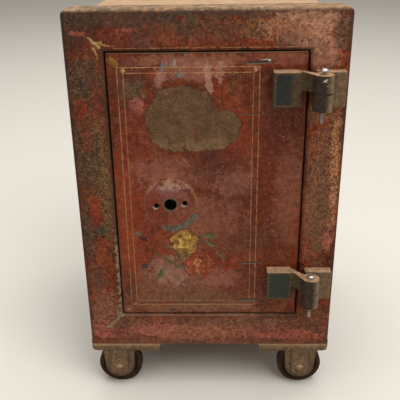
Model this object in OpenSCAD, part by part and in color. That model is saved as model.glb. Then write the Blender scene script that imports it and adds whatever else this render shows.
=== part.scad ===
// Small antique floor safe: two iron castings tied together over a sheet body,
// a stepped door on offset strap hinges, a dial-driven bolt work, and four fixed wheels.
// Millimetres. X runs to the right, Y to the back, Z up. The origin is on the floor,
// below the middle of the whole safe. Inside from_face() Y starts at the front face
// and Z at the bottom edge of the castings.

/* [Case] */
// Width of the front and back castings
frame_w = 350; // [330:1:380]
// Height of the front and back castings
frame_h = 490; // [480:1:540]
// Depth from the front face to the back face
case_d = 360; // [330:1:420]
// Height of the castings' bottom edge above the floor
lift = 64; // [60:0.5:68]
// Depth of the front casting
front_d = 42; // [38:1:60]
// Depth of the back casting
back_d = 36; // [34:1:60]
// Thickness of the front casting behind its face
web_t = 14; // [12:0.5:15]
// Thickness of the back casting at its back face
back_web_t = 12; // [10:0.5:16]
// Width of the border around the recessed back plate
back_border = 38; // [30:1:60]
// Thickness of the castings' rim at the sides, which is how far the body is set in
rim_side = 10; // [8:0.5:14]
// Thickness of the castings' rim at the top
rim_top = 12; // [10:0.5:18]
// Thickness of the castings' rim at the bottom
rim_bottom = 16; // [15:0.5:20]
// Corner radius of the castings, seen from the front
corner_r = 9.5; // [3:0.5:10]
// Rounding of the castings' outer edges
edge_r = 5.5; // [2:0.5:6]
// Thickness of the wrapped sheet body
shell_t = 2; // [1.5:0.1:3]
// Corner radius of the wrapped sheet body
shell_r = 8; // [5:0.5:12]
// Thickness of the back plate
back_plate_t = 3; // [2:0.5:5]
// Thickness of the fireproof filling at the back
back_fill = 39; // [25:1:60]

/* [Bottom moulding] */
// Height of the rounded moulding along the bottom of the front casting
moulding_h = 12.5; // [10:0.5:15]
// How far the moulding stands out from the face
moulding_out = 3.5; // [2:0.5:5]
// Height of the flat fillet above the moulding
fillet_h = 5; // [3:0.5:8]
// How far that fillet stands out from the face
fillet_out = 1; // [0.5:0.1:1.5]
// Width of the notch in the bottom edge
notch_w = 147; // [120:1:160]
// Height of the notch in the bottom edge
notch_h = 12.5; // [8:0.5:12.5]
// Radius of the notch's upper corners
notch_r = 4.5; // [2:0.5:6]

/* [Door opening] */
// Width of the casting's face on each side of the door opening
stile_w = 49; // [47:1:52]
// Height of the casting's face above the door opening
top_rail = 50; // [44:1:60]
// Height of the sill above the bottom edge of the castings
sill_z = 62; // [58:1:70]
// Rounding of the opening's front edge
opening_r = 5; // [2:0.5:6]
// Depth of the ledge that the door plate closes on
seat_y = 17; // [17:0.1:18]
// Width of that ledge
ledge_w = 12; // [11:0.5:14]
// Thickness of the jamb walls
jamb_t = 8; // [6:0.5:9]
// Depth of the opening's inner end
throat_y = 66; // [66:0.5:72]
// How much the opening narrows on each side towards its inner end
throat_taper = 12; // [11.5:0.25:14]

/* [Door] */
// How far the door's face lies behind the front face
door_recess = 2.5; // [2:0.1:3]
// Thickness of the door's front plate
door_plate_t = 14; // [12:0.5:14]
// Gap around the front plate
door_gap = 2; // [1.75:0.05:2.5]
// Slant of the plate's free edge, for its swing
door_edge_slant = 2.5; // [2:0.25:4]
// Gap between the door's inner step and the opening
step_gap = 3; // [2.75:0.05:4]
// Thickness of the sheet steel pan behind the plate
pan_t = 3; // [2:0.5:4]
// Depth of the pan behind the plate
pan_d = 48; // [48:0.5:49]
// Thickness of the fireproof filling behind the plate
door_fill_t = 17.5; // [15:0.5:17.5]
// Thickness of the plate that carries the lock
lock_plate_t = 3; // [2:0.5:3]
// Thickness of the inner panel
panel_t = 3; // [2:0.5:3]
// Width of the posts that the inner panel is screwed to
post_w = 12; // [11:0.5:12]
// Diameter of the inner panel's screws
panel_screw_d = 5; // [4:0.5:6]
// Diameter of those screws' countersunk heads
panel_screw_head_d = 10; // [8:0.5:11]
// Length of those screws below the panel
panel_screw_l = 11; // [8:0.5:16]

/* [Hinges] */
// Height of each hinge
hinge_h = 44; // [40:1:50]
// Top of the upper hinge below the top of the opening
hinge_from_top = 23.5; // [15:0.5:30]
// Bottom of the lower hinge above the sill
hinge_from_sill = 34.5; // [28:0.5:40]
// Hinge axis, measured to the right from the opening
hinge_beyond = 12.6; // [12:0.1:13]
// Hinge axis, measured out from the front face
hinge_out = 28; // [27.9:0.1:30]
// Diameter of the knuckles
knuckle_d = 23.6; // [20:0.1:23.6]
// Height of the lower knuckle, which stays with the frame
lower_knuckle_h = 22; // [18:0.5:24]
// Gap between the two knuckles of a hinge
knuckle_gap = 0.4; // [0.3:0.05:0.6]
// How far the pad on the door stands out
pad_out = 16; // [12:0.5:16]
// How far the pad on the frame stands out
frame_pad_out = 12; // [11.5:0.5:16]
// Width of the pad on the door
door_pad_w = 35; // [28:0.5:40]
// Right edge of the door's pad, measured in from the hinge axis
door_pad_in = 23; // [22:0.1:28]
// Right edge of the frame's pad, measured in from the casting's side
frame_pad_edge = 5.5; // [3:0.5:8]
// Left edge of the frame's pad, measured in from the hinge axis
frame_pad_in = 5.6; // [3:0.1:7]
// Rounding of the pads
pad_r = 2; // [1:0.5:3]
// Thickness of the strap between pad and knuckle
strap_t = 11; // [9:0.5:12]
// Diameter of the screw that serves as hinge pin
pin_d = 5; // [4:0.1:6]
// Length of that screw under its head
pin_l = 63; // [55:1:75]
// How far the upper screw stands up, not driven home
upper_pin_up = 3; // [0:0.5:5]
// Diameter of the screw's head
pin_head_d = 10.5; // [9:0.5:12]
// Height of the screw's head
pin_head_h = 4.5; // [3:0.1:5]
// Radial play of turning and sliding fits
fit = 0.05; // [0.03:0.01:0.08]
// Diameter of the hidden studs that hold the pads
stud_d = 8; // [6:0.5:9]
// Diameter of the studs' riveted heads
stud_head_d = 13; // [11:0.5:15]
// Height of the studs' riveted heads
stud_head_h = 4; // [3:0.5:5]
// Distance between the two studs of a pad
stud_pitch = 22; // [18:0.5:24]
// How deep the studs go into a pad
stud_grip = 10; // [7:0.5:11]

/* [Wheels] */
// Radius of the wheels
wheel_r = 32.5; // [30:0.5:34]
// Width of the wheels
wheel_w = 15; // [12:0.5:16]
// Middle of the wheels, measured in from the castings' sides
wheel_in = 39.5; // [38:0.5:45]
// Thickness of each cheek beside a wheel
cheek_t = 8; // [6:0.5:9]
// Side play between wheel and cheek
wheel_play = 1; // [0.5:0.1:1.5]
// Room around the wheel where it runs up into the casting
wheel_room = 3; // [2:0.5:4]
// Width of the cheeks at the top
cheek_w = 46; // [42:1:52]
// Radius of the cheeks' rounded lower end
cheek_r = 21.5; // [16:0.5:23]
// Height of the cheeks below the castings
cheek_h = 49; // [45:0.5:55]
// Width of the raised tongue on the outer cheeks
tongue_w = 26; // [20:0.5:30]
// Height of the raised tongue
tongue_out = 2.5; // [1.5:0.5:3]
// Thickness of the wheels' rim
wheel_rim_t = 6; // [4:0.5:8]
// Radius of the wheels' hub
wheel_hub_r = 11; // [9:0.5:13]
// Thickness of the web between hub and rim
wheel_web_t = 6; // [4:0.5:8]
// Radius of the axles
axle_r = 5; // [4:0.25:6]
// Radius of the axles' heads
axle_head_r = 7; // [6.5:0.25:8]
// Height of the axles' heads
axle_head_h = 5; // [3:0.5:6]

/* [Interior] */
// Thickness of the sheet steel liner
liner_t = 2; // [1.5:0.25:3]
// Thickness of the wooden boards
board_t = 8; // [6:0.5:10]
// Play between the wooden cabinet and the liner
cabinet_play = 0.5; // [0.3:0.1:1]
// Setback of the cabinet behind the liner's front edge
cabinet_back_off = 6; // [3:0.5:15]
// Height of the lower compartment
lower_room_h = 200; // [150:1:230]
// Diameter of the rods that tie the castings together
tie_rod_d = 8; // [6:0.5:10]
// Distance of the tie rods from the rim
tie_rod_in = 15; // [13:0.5:20]
// Depth of the tie rods' threads in the front casting
tie_rod_grip = 10; // [6:0.5:10]
// Width of the tie rods' nuts across their corners
nut_w = 15; // [13:0.5:18]
// Height of the tie rods' nuts
nut_h = 6.5; // [5:0.5:8]

/* [Lock] */
// Middle of the lock spindle, left of the safe's middle
spindle_left = 50.5; // [48:0.1:52]
// Middle of the lock spindle, above the sill
spindle_up = 174; // [160:0.5:185]
// Diameter of the hole for the dial's spindle
spindle_hole_d = 17; // [14:0.5:18]
// Distance between the two screw holes of the dial ring
dial_screw_pitch = 38.5; // [34:0.5:44]
// Diameter of the two screw holes
dial_screw_d = 5; // [4:0.1:5.5]
// Tilt of the two screw holes in degrees
dial_screw_tilt = 5; // [0:0.5:10]
// Radius of the combination wheels
disc_r = 26; // [24:0.5:27]
// Thickness of the combination wheels
disc_t = 3; // [2:0.25:3]
// Gap between the combination wheels
disc_gap = 1; // [0.75:0.05:1.2]
// Width of the gates in the combination wheels
gate_w = 5; // [4:0.25:6]
// Depth of the gates
gate_d = 5; // [4:0.25:6]
// Outer radius of the tube that the combination wheels turn on
post_r = 8; // [7:0.25:9]
// Inner radius of that tube
post_bore_r = 5; // [4:0.25:5.5]
// Radius of the drive cam
cam_r = 22; // [20:0.5:23]
// Thickness of the drive cam
cam_t = 4; // [3:0.25:4]
// Radius of the drive cam's hub
cam_hub_r = 10; // [8:0.25:11]
// Diameter of the lock cover's screws
cover_screw_d = 3; // [2.5:0.25:3.5]
// Length of those screws below the cover
cover_screw_l = 10; // [6:0.5:14]
// Wall of the lock case
lock_wall = 3; // [2:0.25:3.5]
// Room between the combination wheels and the lock case
lock_room = 7; // [6:0.25:8]
// Room above the wheels for the lever
lever_room = 24; // [22:0.5:26]

/* [Bolt work] */
// Diameter of the locking bolts
bolt_d = 16; // [12:0.5:16]
// Travel of the bolts
bolt_throw = 16; // [12:0.5:16]
// Distance between the two bolts
bolt_pitch = 216; // [200:1:230]
// Width of the bar that joins the bolts
bar_w = 20; // [16:0.5:24]
// Thickness of that bar
bar_t = 7; // [6:0.25:7]
// Length of the bar beyond the bolts at each end
bar_end = 12; // [10:0.5:16]
// Gap between the lock case and the bar when the bolts are out
bar_gap = 11; // [5:0.5:14]
// Diameter of the bolts' riveted ends
tenon_d = 5; // [4:0.25:6]
// Width of the bolt guides along the bolt
guide_w = 12; // [10:0.5:16]
// Height of the bolt guides
guide_h = 28; // [24:0.5:32]
// Thickness of the lever
lever_t = 4; // [3:0.1:4]
// Height of the lever's arm
lever_h = 9; // [7:0.5:10]
// Diameter of the lever's pivot screw
pivot_d = 6; // [5:0.25:7]
// Lift of the lever when the bolts are out, in degrees
lever_lift = 4; // [2:0.25:4.5]
// Gap between the resting lever and the wheels
fence_gap = 0.5; // [0.4:0.05:0.8]
// Width of the fence that drops into the gates
fence_w = 3.5; // [3:0.25:4]

/* [Hidden] */
$fn = 64;

iron = [0.36, 0.17, 0.15];
dark_iron = [0.22, 0.23, 0.21];
rusty_iron = [0.33, 0.25, 0.21];
sheet = [0.40, 0.19, 0.16];
bare_steel = [0.58, 0.58, 0.56];
zinc = [0.80, 0.80, 0.77];
brass = [0.75, 0.60, 0.30];
wood = [0.55, 0.36, 0.20];
plaster = [0.82, 0.80, 0.74];

// A cut runs this far past the face that it opens
past = 1;

// The castings' middle lies over the origin once hinges and axle heads are counted
knuckle_r = knuckle_d / 2;
face_y = -(case_d + axle_head_h + tongue_out - hinge_out - knuckle_r) / 2;

// Heights and widths of the door opening
opening_x = frame_w / 2 - stile_w;
opening_top = frame_h - top_rail;
opening_h = opening_top - sill_z;
opening_mid = sill_z + opening_h / 2;
throat_half_w = opening_x - ledge_w;
throat_half_h = opening_h / 2 - ledge_w;
throat_slope = throat_taper / (throat_y - seat_y);

// Depths in the door
plate_back = door_recess + door_plate_t;
fill_back = plate_back + door_fill_t;
lock_y = fill_back + lock_plate_t;
pan_back = plate_back + pan_d;
panel_y = pan_back - panel_t;
plate_half_w = opening_x - door_gap;
plate_bottom = sill_z + door_gap;
plate_top = opening_top - door_gap;

// Hinges
hinge_x = opening_x + hinge_beyond;
upper_hinge_z = opening_top - hinge_from_top - hinge_h;
lower_hinge_z = sill_z + hinge_from_sill;
door_pad_x = hinge_x - door_pad_in - door_pad_w;
frame_pad_x = hinge_x - frame_pad_in;
frame_pad_w = frame_w / 2 - frame_pad_edge - frame_pad_x;
frame_stud_x = frame_pad_x + frame_pad_w * 0.6;
door_stud_x = door_pad_x + door_pad_w / 2;

// Body and interior
shell_x = frame_w / 2 - rim_side;
shell_bottom = rim_bottom;
shell_top = frame_h - rim_top;
shell_end = case_d - back_web_t;
fill_end = shell_end - back_plate_t;
liner_end = fill_end - back_fill;
room_half_w = throat_half_w - throat_taper;
room_half_h = throat_half_h - throat_taper;
room_bottom = opening_mid - room_half_h;
room_top = opening_mid + room_half_h;
cabinet_front = throat_y + cabinet_back_off;
cabinet_end = liner_end - liner_t - cabinet_play;
cabinet_x = room_half_w - cabinet_play;
cabinet_top_z = room_top - cabinet_play;
shelf_z = room_bottom + board_t + lower_room_h;
tie_rod_x = shell_x - tie_rod_in;
tie_rod_zs = [shell_bottom + tie_rod_in, shell_top - tie_rod_in];

// Wheels
wheel_x = frame_w / 2 - wheel_in;
axle_z = wheel_r - lift;
wheel_y = cheek_t + wheel_play;
inner_cheek_y = wheel_y + wheel_w + wheel_play;
fork_d = inner_cheek_y + cheek_t;
well_top = axle_z + wheel_r + wheel_room;

// Lock
spindle_x = -spindle_left;
spindle_z = sill_z + spindle_up;
disc_step = disc_t + disc_gap;
first_disc_y = lock_y + lock_wall + disc_gap;
cam_y = first_disc_y + 3 * disc_step;
lock_case_back = cam_y + cam_t + disc_gap;
lock_half_w = disc_r + lock_room + lock_wall;
lock_low = spindle_z - disc_r - lock_room - lock_wall;
lock_high = spindle_z + disc_r + lever_room + lock_wall;
cover_t = panel_y - lock_case_back - disc_gap;
boss_r = cover_screw_d + 2;
boss_in = lock_wall + cover_screw_d;

// Bolt work
bolt_r = bolt_d / 2;
lever_y = cam_y;
bar_y = lever_y - fence_gap - bar_t;
bolt_y = bar_y + bar_t / 2;
bolt_tip_x = -throat_half_w + throat_slope * (bolt_y + bolt_r - seat_y) + step_gap + 0.5;
bar_x = spindle_x + lock_half_w + bar_gap + bolt_throw;
bolt_zs = [opening_mid - bolt_pitch / 2, opening_mid + bolt_pitch / 2];
guide_x = spindle_x - guide_w;
pivot_x = bar_x + bar_w / 2;
pivot_z = spindle_z + disc_r + fence_gap + lever_h;

// Everything on the safe stands between the floor and the front face
module from_face() {
    translate([0, face_y, lift]) children();
}

// Solid between the depths y0 and y1 of a shape drawn in X and Z
module along_y(y0, y1) {
    translate([0, y1, 0]) rotate([90, 0, 0]) linear_extrude(y1 - y0) children();
}

// Solid between two heights of a shape drawn in X and Y
module along_z(z0, z1) {
    translate([0, 0, z0]) linear_extrude(z1 - z0) children();
}

// Solid between x0 and x1 of a shape drawn in Y and Z
module along_x(x0, x1) {
    translate([x0, 0, 0]) rotate([90, 0, 90]) linear_extrude(x1 - x0) children();
}

// Round rod along Y at a point in X and Z
module rod_y(at, r, y0, y1) {
    translate([at[0], y0, at[1]]) rotate([-90, 0, 0]) cylinder(r = r, h = y1 - y0);
}

// Round rod along X at a point in Y and Z
module rod_x(at, r, x0, x1) {
    translate([x0, at[0], at[1]]) rotate([0, 90, 0]) cylinder(r = r, h = x1 - x0);
}

// Upright round rod at a point in X and Y
module rod_z(at, r, z0, z1) {
    translate([at[0], at[1], z0]) cylinder(r = r, h = z1 - z0);
}

// Cone along Y that widens from r0 to r1
module cone_y(at, r0, r1, y0, y1) {
    translate([at[0], y0, at[1]]) rotate([-90, 0, 0]) cylinder(r1 = r0, r2 = r1, h = y1 - y0);
}

// Box between two corners
module box(a, b) {
    translate(a) cube(b - a);
}

// Rectangle between two corners with all its corners rounded
module round_shape(a, b, r) {
    translate([a[0] + r, a[1]]) square([b[0] - a[0] - 2 * r, b[1] - a[1]]);
    translate([a[0], a[1] + r]) square([b[0] - a[0], b[1] - a[1] - 2 * r]);
    for (u = [a[0] + r, b[0] - r], v = [a[1] + r, b[1] - r]) translate([u, v]) circle(r);
}

// Rectangle between two corners whose two lower corners are rounded
module nosed_shape(a, b, r) {
    translate([a[0] + r, a[1]]) square([b[0] - a[0] - 2 * r, b[1] - a[1]]);
    translate([a[0], a[1] + r]) square([b[0] - a[0], b[1] - a[1] - r]);
    for (u = [a[0] + r, b[0] - r]) translate([u, a[1] + r]) circle(r);
}

// Cast block between two corners, with its front edges rounded
module cast_block(a, b, face_corner_r, front_edge_r) {
    intersection() {
        along_y(a[1], b[1]) round_shape([a[0], a[2]], [b[0], b[2]], face_corner_r);
        along_z(a[2], b[2]) nosed_shape([a[0], a[1]], [b[0], b[1]], front_edge_r);
        along_x(a[0], b[0])
            mirror([1, -1, 0]) nosed_shape([a[2], a[1]], [b[2], b[1]], front_edge_r);
    }
}

// Mirrors its children to the back casting, keeping the same distance from the back face
module from_back() {
    translate([0, case_d, 0]) mirror([0, 1, 0]) children();
}

// Half width and half height of the narrowing opening at a depth, less a gap
function throat_half(y, gap) = [
    throat_half_w - throat_slope * (y - seat_y) - gap,
    throat_half_h - throat_slope * (y - seat_y) - gap
];

// Block with the narrowing opening's taper between two depths, smaller by a gap on each side
module stepped(y0, y1, gap) {
    front = throat_half(y0, gap);
    back = throat_half(y1, gap);
    intersection() {
        along_z(opening_mid - front[1], opening_mid + front[1])
            polygon([[-front[0], y0], [front[0], y0], [back[0], y1], [-back[0], y1]]);
        along_x(-front[0], front[0])
            polygon([
                [y0, opening_mid - front[1]], [y0, opening_mid + front[1]],
                [y1, opening_mid + back[1]], [y1, opening_mid - back[1]]
            ]);
    }
}

// Outline of a wheel cheek, and of the raised tongue on it with a smaller width
module cheek_shape(top_w, low_r, low_z) {
    polygon([[-top_w / 2, 0], [top_w / 2, 0], [low_r, low_z], [-low_r, low_z]]);
    translate([-top_w / 2, -past / 10]) square([top_w, edge_r + past]);
    translate([0, low_z]) circle(low_r);
}

// The two cheeks that hold a wheel, with the raised tongue on the outer one
module wheel_fork(x) {
    low_z = cheek_r - cheek_h;
    translate([x, 0, 0]) {
        along_y(0, cheek_t) cheek_shape(cheek_w, cheek_r, low_z);
        along_y(-tongue_out, past) cheek_shape(tongue_w, tongue_w / 2, axle_z);
        along_y(inner_cheek_y, fork_d) cheek_shape(cheek_w, cheek_r, low_z);
    }
}

// Room for a wheel between its cheeks and under the casting, with the hole for its axle
module wheel_well(x) {
    box([x - wheel_r - wheel_room, cheek_t, -past], [x + wheel_r + wheel_room, inner_cheek_y, well_top]);
    rod_y([x, axle_z], axle_r, -tongue_out - past, fork_d + past);
}

// Rim and forks that both castings have
module casting_blank(d) {
    difference() {
        union() {
            cast_block([-frame_w / 2, 0, 0], [frame_w / 2, d, frame_h], corner_r, edge_r);
            for (x = [-wheel_x, wheel_x]) wheel_fork(x);
        }
        for (x = [-wheel_x, wheel_x]) wheel_well(x);
    }
}

// Space inside the castings' rims, where the sheet body sits
module rim_space(y0, y1) {
    along_y(y0, y1) round_shape([-shell_x, shell_bottom], [shell_x, shell_top], shell_r);
}

// Walls around the door opening, behind the casting's face
module jamb() {
    along_y(web_t - past, seat_y + jamb_t)
        translate([-opening_x - jamb_t, sill_z - jamb_t])
            square([2 * (opening_x + jamb_t), opening_h + 2 * jamb_t]);
    stepped(seat_y, throat_y, -jamb_t);
}

// Rounded moulding with a flat fillet above it, along the bottom of the front casting
module moulding() {
    bow_r = (moulding_h * moulding_h / 4 + moulding_out * moulding_out) / (2 * moulding_out);
    half_w = frame_w / 2;
    in_y = edge_r + past;
    top = moulding_h + fillet_h;
    intersection() {
        along_x(-half_w, half_w) mirror([1, -1, 0]) {
            intersection() {
                translate([moulding_h / 2, bow_r - moulding_out]) circle(bow_r);
                translate([0, -moulding_out]) square([moulding_h, moulding_out + past]);
            }
            translate([0, -fillet_out]) square([top, fillet_out + in_y]);
        }
        along_y(-moulding_out, in_y) nosed_shape([-half_w, 0], [half_w, top], corner_r);
        along_z(0, top) nosed_shape([-half_w, -moulding_out], [half_w, in_y], edge_r);
    }
}

// Notch in the bottom edge of the front casting
module notch() {
    along_y(-moulding_out - past, fork_d + front_d)
        mirror([0, 1, 0])
            nosed_shape([-notch_w / 2, -notch_h], [notch_w / 2, past], notch_r);
}

// Flared shape of a gap with rounded front edges, for half its width or height
module flared_shape(half) {
    difference() {
        translate([-half - opening_r, -past]) square([2 * (half + opening_r), past + opening_r]);
        for (side = [-1, 1]) translate([side * (half + opening_r), opening_r]) circle(opening_r);
    }
}

// Opening for the door: straight for the plate, then narrowing, with a rounded front edge
module door_cut() {
    flare_x = opening_x + opening_r;
    along_y(-past, seat_y) translate([-opening_x, sill_z]) square([2 * opening_x, opening_h]);
    intersection() {
        along_z(sill_z - opening_r, opening_top + opening_r) flared_shape(opening_x);
        along_x(-flare_x, flare_x)
            translate([0, opening_mid]) mirror([1, -1, 0]) flared_shape(opening_h / 2);
    }
    stepped(seat_y - past / 10, throat_y + past, 0);
}

// Places its children at the bolt heights
module at_bolts() {
    for (z = bolt_zs) translate([0, 0, z]) children();
}

// Hidden studs of both pads on one side of the hinges, as rods with an added radius
module pad_studs(x, y0, y1, r) {
    for (z = [lower_hinge_z, upper_hinge_z], up = [-1, 1])
        rod_y([x, z + hinge_h / 2 + up * stud_pitch / 2], r, y0, y1);
}

module front_frame() {
    color(iron) from_face() difference() {
        union() {
            difference() {
                casting_blank(front_d);
                rim_space(web_t, front_d + past);
            }
            jamb();
            moulding();
        }
        door_cut();
        notch();
        at_bolts() rod_x([bolt_y, 0], bolt_r + 1, -opening_x, -room_half_w);
        pad_studs(frame_stud_x, -past, web_t + past, stud_d / 2);
        for (x = [-tie_rod_x, tie_rod_x], z = tie_rod_zs)
            rod_y([x, z], tie_rod_d / 2, web_t - tie_rod_grip, web_t + past);
    }
}

module back_frame() {
    color(iron) from_face() from_back() difference() {
        casting_blank(back_d);
        rim_space(back_web_t, back_d + past);
        along_y(-past, back_web_t + past)
            round_shape(
                [-frame_w / 2 + back_border, back_border],
                [frame_w / 2 - back_border, frame_h - back_border],
                corner_r
            );
        for (x = [-tie_rod_x, tie_rod_x], z = tie_rod_zs) {
            rod_y([x, z], tie_rod_d / 2, -past, back_web_t + past);
            rod_y([x, z], nut_w / 2 + 1, -past, nut_h + 0.5);
        }
    }
}

module back_plate() {
    color(sheet) from_face() difference() {
        along_y(fill_end, shell_end)
            round_shape(
                [-shell_x + shell_t, shell_bottom + shell_t],
                [shell_x - shell_t, shell_top - shell_t],
                shell_r - shell_t
            );
        tie_rod_holes();
    }
}

module tie_rod_holes() {
    for (x = [-tie_rod_x, tie_rod_x], z = tie_rod_zs)
        rod_y([x, z], tie_rod_d / 2, web_t, case_d);
}

module outer_shell() {
    color(sheet) from_face() difference() {
        rim_space(web_t, shell_end);
        along_y(web_t - past, shell_end + past)
            round_shape(
                [-shell_x + shell_t, shell_bottom + shell_t],
                [shell_x - shell_t, shell_top - shell_t],
                shell_r - shell_t
            );
    }
}

module insulation_fill() {
    color(plaster) from_face() difference() {
        along_y(web_t, fill_end)
            round_shape(
                [-shell_x + shell_t, shell_bottom + shell_t],
                [shell_x - shell_t, shell_top - shell_t],
                shell_r - shell_t
            );
        jamb();
        door_cut();
        box(
            [-room_half_w - liner_t, throat_y - past, room_bottom - liner_t],
            [room_half_w + liner_t, liner_end, room_top + liner_t]
        );
        at_bolts() rod_x([bolt_y, 0], bolt_r + 1, -opening_x, -room_half_w);
        pad_studs(frame_stud_x, web_t - past, web_t + stud_head_h, stud_head_d / 2);
        tie_rod_holes();
    }
}

module inner_liner() {
    color(dark_iron) from_face() difference() {
        box(
            [-room_half_w - liner_t, throat_y, room_bottom - liner_t],
            [room_half_w + liner_t, liner_end, room_top + liner_t]
        );
        box([-room_half_w, throat_y - past, room_bottom], [room_half_w, liner_end - liner_t, room_top]);
    }
}

module tie_rods() {
    color(bare_steel) from_face()
        for (x = [-tie_rod_x, tie_rod_x], z = tie_rod_zs)
            rod_y([x, z], tie_rod_d / 2, web_t - tie_rod_grip, case_d - 1);
}

module tie_rod_nuts() {
    color(rusty_iron) from_face()
        for (x = [-tie_rod_x, tie_rod_x], z = tie_rod_zs) difference() {
            translate([x, case_d - nut_h - 0.5, z]) rotate([-90, 0, 0]) cylinder(d = nut_w, h = nut_h, $fn = 6);
            rod_y([x, z], tie_rod_d / 2, case_d - back_web_t, case_d);
        }
}

module cabinet_bottom() {
    color(wood) from_face()
        box([-cabinet_x, cabinet_front, room_bottom], [cabinet_x, cabinet_end, room_bottom + board_t]);
}

module cabinet_top() {
    color(wood) from_face()
        box([-cabinet_x, cabinet_front, cabinet_top_z - board_t], [cabinet_x, cabinet_end, cabinet_top_z]);
}

module cabinet_side(x) {
    color(wood) from_face()
        box(
            [x, cabinet_front, room_bottom + board_t],
            [x + board_t, cabinet_end, cabinet_top_z - board_t]
        );
}

module cabinet_back() {
    color(wood) from_face()
        box(
            [-cabinet_x + board_t, cabinet_end - board_t, room_bottom + board_t],
            [cabinet_x - board_t, cabinet_end, cabinet_top_z - board_t]
        );
}

module cabinet_shelf() {
    color(wood) from_face()
        box(
            [-cabinet_x + board_t, cabinet_front, shelf_z],
            [cabinet_x - board_t, cabinet_end - board_t, shelf_z + board_t]
        );
}

module cabinet_divider() {
    color(wood) from_face()
        box(
            [-board_t / 2, cabinet_front, shelf_z + board_t],
            [board_t / 2, cabinet_end - board_t, cabinet_top_z - board_t]
        );
}

// Leaf on the frame: pad, web and the lower knuckle
module frame_leaf(z) {
    color(dark_iron) from_face() difference() {
        union() {
            cast_block(
                [frame_pad_x, -frame_pad_out, z],
                [frame_pad_x + frame_pad_w, 0, z + hinge_h],
                pad_r, pad_r
            );
            along_z(z, z + lower_knuckle_h) {
                translate([hinge_x, -hinge_out]) circle(knuckle_r);
                translate([frame_pad_x, -hinge_out])
                    square([frame_pad_in + knuckle_r, hinge_out - pad_r]);
            }
        }
        rod_z([hinge_x, -hinge_out], pin_d / 2, z - past, z + lower_knuckle_h + past);
        pad_studs(frame_stud_x, -stud_grip, past, stud_d / 2);
    }
}

// Point on the S-shaped line from one plan point to another, with t from 0 to 1
function strap_point(from, to, t) = [
    from[0] + (to[0] - from[0]) * t,
    from[1] + (to[1] - from[1]) * (1 - cos(180 * t)) / 2
];

// Leaf on the door: pad, S-shaped strap and the upper knuckle
module door_leaf(z) {
    strap_low = z + lower_knuckle_h + knuckle_gap;
    pad_right = door_pad_x + door_pad_w;
    pad_front = door_recess - pad_out;
    outer_from = [pad_right - pad_r, pad_front];
    outer_to = [hinge_x - knuckle_r * 0.3, -hinge_out - knuckle_r * 0.95];
    inner_from = [pad_right - pad_r, pad_front + strap_t];
    inner_to = [hinge_x - knuckle_r * 0.55, -hinge_out + knuckle_r * 0.8];
    steps = 12;
    color(dark_iron) from_face() difference() {
        union() {
            cast_block(
                [door_pad_x, pad_front, z],
                [pad_right, door_recess, z + hinge_h],
                pad_r, pad_r
            );
            along_z(strap_low, z + hinge_h) {
                translate([hinge_x, -hinge_out]) circle(knuckle_r);
                polygon(concat(
                    [for (i = [0:steps]) strap_point(outer_from, outer_to, i / steps)],
                    [[hinge_x, -hinge_out]],
                    [for (i = [0:steps]) strap_point(inner_to, inner_from, i / steps)]
                ));
            }
        }
        rod_z([hinge_x, -hinge_out], pin_d / 2 + fit, strap_low - past, z + hinge_h + past);
        pad_studs(door_stud_x, door_recess - stud_grip, door_recess + past, stud_d / 2);
    }
}

module frame_hinge_studs() {
    color(rusty_iron) from_face() {
        pad_studs(frame_stud_x, -stud_grip, web_t, stud_d / 2);
        pad_studs(frame_stud_x, web_t, web_t + stud_head_h, stud_head_d / 2);
    }
}

module door_hinge_studs() {
    color(rusty_iron) from_face() {
        pad_studs(door_stud_x, door_recess - stud_grip, plate_back, stud_d / 2);
        pad_studs(door_stud_x, plate_back, plate_back + stud_head_h, stud_head_d / 2);
    }
}

// Long machine screw that serves as hinge pin, with its head above the upper knuckle
module hinge_pin(z, up) {
    head_z = z + hinge_h + knuckle_gap + up;
    slot_w = 1.4;
    color(zinc) from_face() translate([hinge_x, -hinge_out, head_z]) difference() {
        union() {
            translate([0, 0, -pin_l]) cylinder(d = pin_d, h = pin_l + past);
            rotate_extrude() intersection() {
                translate([0, pin_head_h - pin_head_d * 0.62]) circle(pin_head_d * 0.62);
                square([pin_head_d / 2, pin_head_h]);
            }
        }
        for (turn = [0, 90]) rotate([0, 0, turn])
            translate([-pin_head_d / 4, -slot_w / 2, pin_head_h / 2])
                cube([pin_head_d / 2, slot_w, pin_head_h]);
    }
}

// Axle with a domed head, reaching through both cheeks of one wheel
module axle(x) {
    dome_r = (axle_head_r * axle_head_r + axle_head_h * axle_head_h) / (2 * axle_head_h);
    rod_y([x, axle_z], axle_r, -tongue_out, fork_d);
    translate([x, -tongue_out, axle_z]) rotate([90, 0, 0]) rotate_extrude() intersection() {
        translate([0, axle_head_h - dome_r]) circle(dome_r);
        square([axle_head_r, axle_head_h]);
    }
}

module wheel_axles() {
    color(rusty_iron) from_face() for (x = [-wheel_x, wheel_x]) {
        axle(x);
        from_back() axle(x);
    }
}

// Wheel with hub, web and rim, standing on its axle behind the outer cheek
module wheel(x) {
    web_in = (wheel_w - wheel_web_t) / 2;
    rim_in = wheel_r - wheel_rim_t;
    edge = 1.5;
    translate([x, wheel_y, axle_z]) rotate([-90, 0, 0]) rotate_extrude() polygon([
        [axle_r + fit, 0], [wheel_hub_r, 0], [wheel_hub_r, web_in], [rim_in - edge, web_in],
        [rim_in, 0], [wheel_r - edge, 0], [wheel_r, edge],
        [wheel_r, wheel_w - edge], [wheel_r - edge, wheel_w], [rim_in, wheel_w],
        [rim_in - edge, wheel_w - web_in], [wheel_hub_r, wheel_w - web_in],
        [wheel_hub_r, wheel_w], [axle_r + fit, wheel_w]
    ]);
}

module front_wheel(x) {
    color(rusty_iron) from_face() wheel(x);
}

module back_wheel(x) {
    color(rusty_iron) from_face() from_back() wheel(x);
}

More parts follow.
